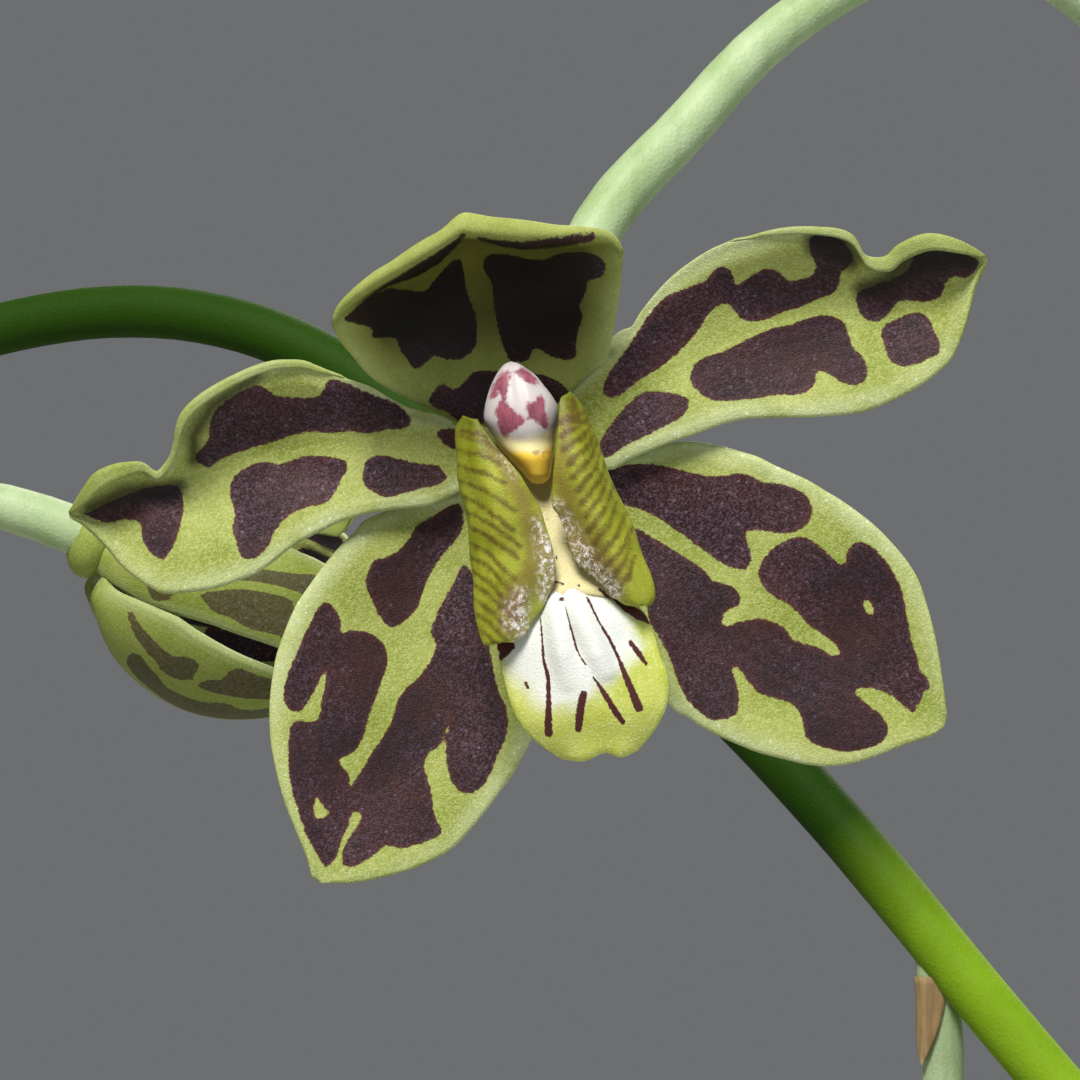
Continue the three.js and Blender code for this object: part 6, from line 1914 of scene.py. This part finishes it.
for spike in spikes:
    bracts, strands = [], []
    buds, budStalks = budsOf(spike)
    for flower in flowersOf(spike):
        name = flower["name"]
        where = (flower["axes"], flower["heart"])
        addParts(
            name + "Tepals", perianth(False, flower["seed"], flower["curl"]), "tepal", "tepal", [name],
            *where
        )
        strands.append((flower["stalk"], stalks["radii"]))
        if name == "spike_left_flower_4":
            seat, ahead = pickAt(flower["stalk"], np.array([hangingBract["from"], hangingBract["to"]]))
            size = [hangingBract[key] for key in ("radius", "length", "width")]
            bracts.append(bractPart(seat, unit(ahead - seat), unit(hangingBract["out"]), *size))
        else:
            foot = flower["node"] - flower["way"] * 2
            bracts.append(bractPart(foot, flower["way"], flower["out"], flower["thick"], 6, 2.8))
        if flower["curl"]:
            continue
        addParts(name + "Lip", lipMeshData(False), "lip", "lip", [name + "_lip"], *where)
        addParts(name + "Column", columnPart(False), "column", "column", (), *where)
    addStems(spike["name"] + "Stalks", strands, "stalk", stalks["look"])
    main = [(np.array(spike["line"], float), spike["radius"], spike["shares"])] + budStalks
    addStems(spike["name"] + "Stem", main, "stem", stalks["stemLook"], [spike["name"]])
    addParts(spike["name"] + "Buds", buds, "bud", "stem")
    bracts += [sheathPart(spike, distance, sheath["length"]) for distance in sheath["at"]]
    addParts(spike["name"] + "Bracts", bracts, "paper", "stem")
print("spikes built", flush=True)

# ---- leaves and pseudobulbs

leaf = {"thick": 1.1, "half": 26, "foot": 4.5, "fold": 18}
bark = {"top": 172, "dome": 9}
bulbOutline = [
    (0.0, 0.0), (0.62, 0.0), (0.9, 0.12), (1, 0.3), (0.95, 0.5), (0.74, 0.72), (0.46, 0.88), (0.3, 0.97),
    (0.2, 1),
]


def barkHeight(r):
    return bark["top"] + bark["dome"] * (1 - (r / 122) ** 2)


def bulbPlace(bulb):
    away = math.atan2(bulb["at"][1], bulb["at"][0])
    lean = Matrix.Rotation(math.radians(bulb["lean"]), 3, Vector((-math.sin(away), math.cos(away), 0)))
    foot = barkHeight(math.hypot(*bulb["at"])) - 12
    return np.array(lean), np.array([*bulb["at"], foot])


def leafPart(start, plan, seed):
    turn, foot, tip, length = plan
    angle = math.radians(turn)
    level = np.array([math.cos(angle), math.sin(angle), 0.0])
    across = np.array([-math.sin(angle), math.cos(angle), 0.0])
    steps = 30
    lean = np.radians(foot + (tip - foot) * ((np.arange(steps) + 0.5) / steps) ** 1.5)
    moves = (np.sin(lean)[:, None] * level + np.cos(lean)[:, None] * np.array([0, 0, 1.0])) * (length / steps)
    rib = np.concatenate([[start], start + np.cumsum(moves, axis=0)])
    u = np.linspace(0, 1, 62)
    v = np.linspace(-1, 1, 17)
    leanAt = np.radians(foot + (tip - foot) * u**1.5)
    point = np.sqrt(np.maximum(1 - np.maximum((u - 0.5) / 0.5, 0) ** 2.2, 0.002))
    half = (leaf["foot"] + (leaf["half"] - leaf["foot"]) * smoothStep(u / 0.5)) * point
    fold = np.radians(leaf["fold"] + 55 * (1 - u) ** 4)
    inward = -np.cos(leanAt)[:, None] * level + np.sin(leanAt)[:, None] * np.array([0, 0, 1.0])
    centre = pickAt(rib, u)
    # the halves rise from a narrow groove along the rib and flatten towards the margins
    rise = np.abs(v) ** 0.85
    grid = centre[:, None, :] + (v[None, :] * (half * np.cos(fold))[:, None])[..., None] * across
    grid = grid + (rise[None, :] * (half * np.sin(fold))[:, None])[..., None] * inward[:, None, :]
    sway = 1.3 * waves(grid, 95, seed) * np.abs(v)[None, :] * smoothStep(u * 3)[:, None]
    pleat = 0.16 * np.cos(v * 21)[None, :] * (1 - u)[:, None]
    grid = grid + (sway + pleat)[..., None] * inward[:, None, :]
    thick = leaf["thick"] * (0.6 + 0.7 * np.exp(-((v / 0.14) ** 2)))[None, :] * np.ones((len(u), 1))
    rim = rimDistance(grid).ravel()
    points, faces, outer, spread = sheetShell(grid, thick, 0.45)
    share = np.repeat(u, len(v))
    fields = {"outer": outer, "rim": double(rim), "share": double(share)}
    return asPart(points, faces, spread, fields)


# green sheaths wrap one another round the foot of the fan, each with a slanting mouth
def neckPart(lean, foot, base, order, turn0):
    u, v = np.meshgrid(np.linspace(0, 1, 26), np.linspace(-1, 1, 40), indexing="ij")
    turn = math.radians(turn0) + order * 2.2 + v * 2.75
    slant = np.cos(v * math.pi / 2) ** 1.5
    top = (15 + 4 * order) + (16 + 3 * order) * slant
    hold = (8.3 - 0.55 * order) * (1 - 0.16 * u) + 0.7 * np.exp(-((u / 0.08) ** 2))
    hold = hold + 0.9 * u**4 + 0.15 * np.cos(9 * turn)
    height = base - 5 + u * (top + 5)
    grid = np.stack([hold * np.cos(turn), hold * np.sin(turn), height], axis=-1) @ lean.T + foot
    rim = rimDistance(grid).ravel()
    points, faces, outer, spread = sheetShell(grid, np.full(u.shape, 0.7), 0.5)
    fields = {"outer": outer, "rim": double(rim), "share": double((0.01 + 0.12 * u).ravel())}
    return asPart(points, faces, spread, fields)


def bulbPart(bulb):
    rows, around = 80, 72
    t = np.linspace(0, 1, rows)
    line = pickAt(np.array(bulbOutline), t)
    wide, tall = np.maximum(line[:, 0], 0), np.clip(line[:, 1], 0, 1)
    turn = np.linspace(0, 2 * math.pi, around, endpoint=False)
    ribs = 0.03 * np.cos(7 * turn) + 0.018 * np.cos(16 * turn + 1.3) + 0.01 * np.cos(29 * turn + bulb["turn"])
    swell = np.sin(math.pi * np.clip(tall * 1.05, 0, 1)) ** 0.5
    furrow = 1 + ribs[None, :] * swell[:, None]
    # the scars of shed sheaths ring the bulb
    scars = sum(np.exp(-(((tall - s) / 0.007) ** 2)) for s in (0.2, 0.42, 0.63, 0.82))
    radius = bulb["radius"] * wide[:, None] * furrow * (1 + 0.018 * scars[:, None])
    x, y = radius * np.cos(turn), radius * np.sin(turn) * 0.86
    grid = np.stack([x, y, np.broadcast_to((tall * bulb["height"])[:, None], x.shape)], axis=-1)
    outward = np.stack([np.cos(turn), np.sin(turn), 0 * turn], axis=-1)
    grid = grid + 0.35 * waves(grid, 26, int(bulb["height"]))[..., None] * outward
    spin = np.array(Matrix.Rotation(math.radians(bulb["turn"]), 3, "Z"))
    points = np.concatenate([grid.reshape(-1, 3) @ spin.T, [[0, 0, 0], [0, 0, bulb["height"]]]])
    groove = np.broadcast_to(np.clip(-ribs * 22, 0, 1)[None, :], (rows, around)) + scars[:, None] * 0.8
    fields = {
        "share": np.concatenate([np.repeat(tall, around), [0, 1]]),
        "groove": np.concatenate([np.clip(groove, 0, 1).ravel(), [0, 0]]),
    }
    return asPart(points, ringedFaces(rows, around), fields=fields)


# old papery sheaths still clasp the lower bulb, with torn tops
def wrapPart(bulb, order):
    pick = np.random.default_rng(int(bulb["height"]) + order)
    start = order * 2.3 + pick.uniform(0, 1)
    reach = pick.uniform(1.5, 2.3)
    top = (0.34, 0.5, 0.62)[order]
    columns, rows = 40, 30
    turn = start + np.linspace(-reach / 2, reach / 2, columns)
    teeth = np.abs(np.sin(turn * 11 + order)) * np.abs(np.sin(turn * 4.7))
    torn = 1 - 0.25 * np.abs(np.linspace(-1, 1, columns)) ** 1.5 - 0.16 * teeth
    u = np.linspace(0.07, 1, rows)[:, None] * (top * torn)[None, :]
    outline = np.array(bulbOutline)
    wide = np.interp(u, outline[1:, 1], outline[1:, 0])
    loose = 0.9 + 0.5 * order + 1.4 * (u / top) ** 3 + 0.35 * np.sin(turn * 9 + order * 2)[None, :]
    ribs = 1 + 0.03 * np.cos(7 * turn)
    radius = bulb["radius"] * wide * ribs[None, :] + loose
    grid = np.stack([radius * np.cos(turn), radius * np.sin(turn) * 0.87, u * bulb["height"]], axis=-1)
    spin = np.array(Matrix.Rotation(math.radians(bulb["turn"]), 3, "Z"))
    points, faces, _, spread = sheetShell(grid @ spin.T, np.full((rows, columns), 0.35), 0.7)
    return asPart(points, faces, spread)


for bulb in bulbs:
    lean, foot = bulbPlace(bulb)
    name, title = bulb["name"], bulb["name"].title()
    addParts("bulb" + title, [bulbPart(bulb)], "bulb", "pseudobulb", ["bulb_" + name], lean.T, foot)
    addParts(
        "sheaths" + title, [wrapPart(bulb, k) for k in range(3)], "paper", "pseudobulb", (), lean.T, foot
    )
    base = bulb["height"] + 0.4
    start = np.array([0, 0, base + 26 * 0.45]) @ lean.T + foot
    blades = [
        leafPart(start, plan, 100 + 7 * k + int(bulb["height"])) for k, plan in enumerate(bulb["leaves"])
    ]
    necks = [neckPart(lean, foot, base, k, bulb["leaves"][0][0]) for k in range(3)]
    addParts("leaves" + title, blades + necks, "leaf", "leaf", ["leaves_" + name])
print("leaves and bulbs built", flush=True)

# ---- the pot, the bark and the roots

pot = {
    "height": 188, "foot": 88, "mouth": 122, "wall": 7, "floor": 9, "rim": 26, "proud": 5, "around": 168,
    "holes": 4, "holeRing": 48, "holeRadius": 7,
}


def lathePart(profile, around, lump, seed, fineness=2.5):
    line = []
    for a, b in zip(profile[:-1], profile[1:]):
        a, b = np.array(a, float), np.array(b, float)
        count = max(1, int(np.linalg.norm(b - a) / fineness))
        line.extend(a + (b - a) * k / count for k in range(count))
    line.append(np.array(profile[-1], float))
    line = np.array([p for p in line if p[0] > 0.01])
    turn = np.linspace(0, 2 * math.pi, around, endpoint=False)
    x, y = np.outer(line[:, 0], np.cos(turn)), np.outer(line[:, 0], np.sin(turn))
    grid = np.stack([x, y, np.broadcast_to(line[:, 1:2], x.shape)], axis=-1)
    shift = lump * waves(grid, 38, seed)
    grid[..., 0] += shift * np.cos(turn)
    grid[..., 1] += shift * np.sin(turn)
    points = np.concatenate([grid.reshape(-1, 3), [[0, 0, profile[0][1]], [0, 0, profile[-1][1]]]])
    return asPart(points, ringedFaces(len(line), around))


neckOut = pot["mouth"] - (pot["mouth"] - pot["foot"]) * pot["rim"] / pot["height"]
wallLine = pot["height"] - pot["rim"]
potProfile = [
    (0, 0), (pot["foot"] - 3.2, 0), (pot["foot"] - 1, 0.8), (pot["foot"], 3), (neckOut, wallLine - 4),
    (neckOut + 1.5, wallLine - 2.8), (neckOut + pot["proud"] - 1, wallLine - 0.6),
    (neckOut + pot["proud"], wallLine + 1), (pot["mouth"] + pot["proud"], pot["height"] - 3.4),
    (pot["mouth"] + pot["proud"] - 1, pot["height"] - 0.8),
    (pot["mouth"] + pot["proud"] - 3, pot["height"]), (pot["mouth"] - pot["wall"] + 2, pot["height"]),
    (pot["mouth"] - pot["wall"] + 0.4, pot["height"] - 1), (pot["mouth"] - pot["wall"], pot["height"] - 3),
    (neckOut - pot["wall"], wallLine - 4), (pot["foot"] - pot["wall"], pot["floor"] + 5),
    (pot["foot"] - pot["wall"] - 5, pot["floor"]), (0, pot["floor"]),
]
potMesh = partsMesh("pot", [lathePart(potProfile, pot["around"], 0.22, 3, 4)])


def drilled(mesh):
    holder = bpy.data.objects.new("potBlank", mesh)
    bpy.context.scene.collection.objects.link(holder)
    plugs = []
    for k in range(pot["holes"]):
        a = 2 * math.pi * (k + 0.5) / pot["holes"]
        x, y = pot["holeRing"] * math.cos(a), pot["holeRing"] * math.sin(a)
        plugs.append(tubePart([(x, y, -6), (x, y, 20)], [pot["holeRadius"]] * 2, 32, 1))
    cutter = bpy.data.objects.new("potPlugs", partsMesh("plugs", plugs))
    bpy.context.scene.collection.objects.link(cutter)
    modifier = holder.modifiers.new("holes", "BOOLEAN")
    modifier.operation = "DIFFERENCE"
    modifier.solver = "EXACT"
    modifier.object = cutter
    bpy.context.view_layer.update()
    graph = bpy.context.evaluated_depsgraph_get()
    made = bpy.data.meshes.new_from_object(holder.evaluated_get(graph), depsgraph=graph)
    bpy.data.objects.remove(holder)
    bpy.data.objects.remove(cutter)
    return made


addPiece("pot", drilled(potMesh), skins["clay"], ["pot"])

edge = neckOut - pot["wall"] - 0.5
barkProfile = [
    (0, pot["floor"] + 0.3), (pot["foot"] - 13, pot["floor"] + 0.3), (pot["foot"] - 7.8, pot["floor"] + 6),
    (edge, wallLine - 4), (edge, bark["top"] - 5), (edge - 4, barkHeight(edge)),
    *((edge * share, barkHeight(edge * share)) for share in (0.7, 0.36, 0)),
]
core = lathePart(barkProfile, 96, 0.0, 4, 5)
lumps = np.where(core["points"][:, 2] > bark["top"] - 3, 1.6 * waves(core["points"], 17, 9), 0)
core["points"][:, 2] += lumps
addParts("barkFill", [core], "bark", "bark", ["bark"])

chips = {"kinds": 8, "size": 22, "cells": (4, 3, 2), "density": 16000.0, "closest": 0.0068}


# a broken flake of bark: a block with ragged faces
def chipMesh(k):
    pick = np.random.default_rng(60 + k)
    long = chips["size"] * pick.uniform(0.7, 1.35)
    wide = chips["size"] * pick.uniform(0.4, 0.75)
    deep = pick.uniform(4.5, 8.5)
    n = chips["cells"]
    sides = np.stack(np.meshgrid(*[np.linspace(-0.5, 0.5, c + 1) for c in n], indexing="ij"), axis=-1)
    index, points, faces = {}, [], []

    def corner(i, j, m):
        if (i, j, m) not in index:
            index[(i, j, m)] = len(points)
            points.append(sides[i, j, m])
        return index[(i, j, m)]

    for axis in range(3):
        a, b = [q for q in range(3) if q != axis]
        for end in (0, n[axis]):
            for i in range(n[a]):
                for j in range(n[b]):
                    square = ((i, j), (i + 1, j), (i + 1, j + 1), (i, j + 1))
                    places = [{axis: end, a: p, b: q} for p, q in square]
                    faces.append([corner(*(place[way] for way in range(3))) for place in places])
    points = np.array(points)
    corners = np.linalg.norm(points[:, :2], axis=1)
    points = points * np.array([long, wide, deep])
    points[:, :2] *= (1 - 0.35 * np.clip(corners - 0.45, 0, 1))[:, None]
    points[:, 2] += 0.9 * waves(points, 9, 200 + k) + 0.35 * waves(points, 3.5, 300 + k)
    points[:, 0] += 1.0 * waves(points, 7, 400 + k)
    points[:, 1] += 0.8 * waves(points, 6, 500 + k)
    mesh = makeMesh(f"chip{k}", points, faces)
    facesOut(mesh)
    mesh.polygons.foreach_set("use_smooth", [False] * len(mesh.polygons))
    return mesh


def barkTop():
    turn, r = np.linspace(0, 2 * math.pi, 72, endpoint=False), np.linspace(1, edge - 9, 18)
    x, y = np.outer(r, np.cos(turn)), np.outer(r, np.sin(turn))
    grid = np.stack([x, y, barkHeight(np.hypot(x, y)) + 3.0], axis=-1)
    flat = grid.reshape(-1, 3)
    dense = np.ones(len(flat))
    for bulb in bulbs:
        away = np.hypot(flat[:, 0] - bulb["at"][0], flat[:, 1] - bulb["at"][1])
        dense = np.where(away < bulb["radius"] - 3, 0, dense)
    return makeMesh("barkTop", flat, gridFaces(18, 72, closed=True), {"dense": dense})


chipSet = shapeSet("barkChip", [chipMesh(k) for k in range(chips["kinds"])])
values = {
    "Pieces": chipSet, "Density": chips["density"], "Closest": chips["closest"],
    "Smallest": 0.65, "Largest": 1.2, "Tilt": 0.5, "Seed": 8, "Material": skins["bark"],
}
addPiece("barkChips", grown("barkChips", barkTop(), strewNodes, values), skins["bark"])
clearSet(chipSet)

roots = {
    "count": 15, "radius": 2.1, "steps": 8, "step": 8.5, "wander": 0.5, "fromWall": 8,
    "lift": ([0, 1, 3, 5, 7], [10, 8, 7, 5.5, -5]), "look": (12, 0.0015, 0.0009, 0.007, 3.0),
}


def headingOf(angle):
    return np.array([math.cos(angle), math.sin(angle)])


# roots leave the bulbs, cross the bark and dive into it
def rootLines():
    strands = []
    for k in range(roots["count"]):
        bulb = bulbs[k % 4]
        heading = math.radians(golden * k) + 0.6 * draws.uniform(-1, 1)
        at = np.array(bulb["at"], float) + 0.75 * bulb["radius"] * headingOf(heading)
        line = []
        for _ in range(roots["steps"]):
            line.append([*at, 0.0])
            heading += roots["wander"] * draws.uniform(-1, 1)
            at = at + roots["step"] * headingOf(heading)
            at *= min(1, (edge - roots["fromWall"]) / np.hypot(*at))
        line = np.array(line)
        lift = np.interp(np.arange(roots["steps"]), *roots["lift"])
        line[:, 2] = barkHeight(np.hypot(line[:, 0], line[:, 1])) + lift
        strands.append((line, [roots["radius"], roots["radius"] * 0.9, roots["radius"] * 0.6]))
    return strands


addStems("roots", rootLines(), "root", roots["look"])
print("pot, bark and roots built", flush=True)

# ---- stage, camera and light


def floorMaterial():
    newMaterial("paleFloor")
    grain = noise(objectPlace(), 90.0, 3.0, 0.5)
    return finished({"Base Color": mixed(grain, tint(206, 205, 202), tint(214, 213, 210)), "Roughness": 0.7})


ringCount, floorRadius, floorLevel = 96, 2600, -0.2
turns = [2 * math.pi * k / ringCount for k in range(ringCount)]
rim = [(floorRadius * math.cos(a), floorRadius * math.sin(a), floorLevel) for a in turns]
floor = bpy.data.objects.new("floor", makeMesh("floor", rim, [list(range(ringCount))], smooth=False))
floor.data.materials.append(floorMaterial())
bpy.context.scene.collection.objects.link(floor)

world = bpy.data.worlds.new("studio")
bpy.context.scene.world = world
world.use_nodes = True
sky = world.node_tree.nodes["Background"].inputs
sky["Color"].default_value = tint(226, 228, 232)
sky["Strength"].default_value = 0.2


def softLight(name, at, towards, size, watts, colour):
    data = bpy.data.lights.new(name, "AREA")
    data.size = size
    data.energy = watts
    data.color = tint(*colour)[:3]
    light = bpy.data.objects.new(name, data)
    light.location = at
    light.rotation_euler = (Vector(towards) - Vector(at)).to_track_quat("-Z", "Y").to_euler()
    bpy.context.scene.collection.objects.link(light)


softLight("keyLight", (-0.36, -0.95, 1.72), (-0.12, -0.12, 0.6), 0.4, 30, (255, 250, 242))
softLight("fillLight", (1.3, -1.1, 0.8), (0, 0, 0.4), 1.2, 8, (238, 244, 255))
softLight("backLight", (0.4, 1.3, 1.5), (0, 0, 0.5), 0.9, 16, (255, 250, 240))

camera = bpy.data.objects.new("camera", bpy.data.cameras.new("camera"))
camera.data.lens = 180
camera.data.sensor_width = 36
camera.data.clip_start = 0.01
camera.location = (-0.130, -0.4733, 0.634)
camera.rotation_euler = (math.radians(90), 0, 0)
camera.data.dof.use_dof = False
bpy.context.scene.collection.objects.link(camera)
bpy.context.scene.camera = camera
bpy.context.scene.view_settings.view_transform = "Standard"

print("stage set", flush=True)
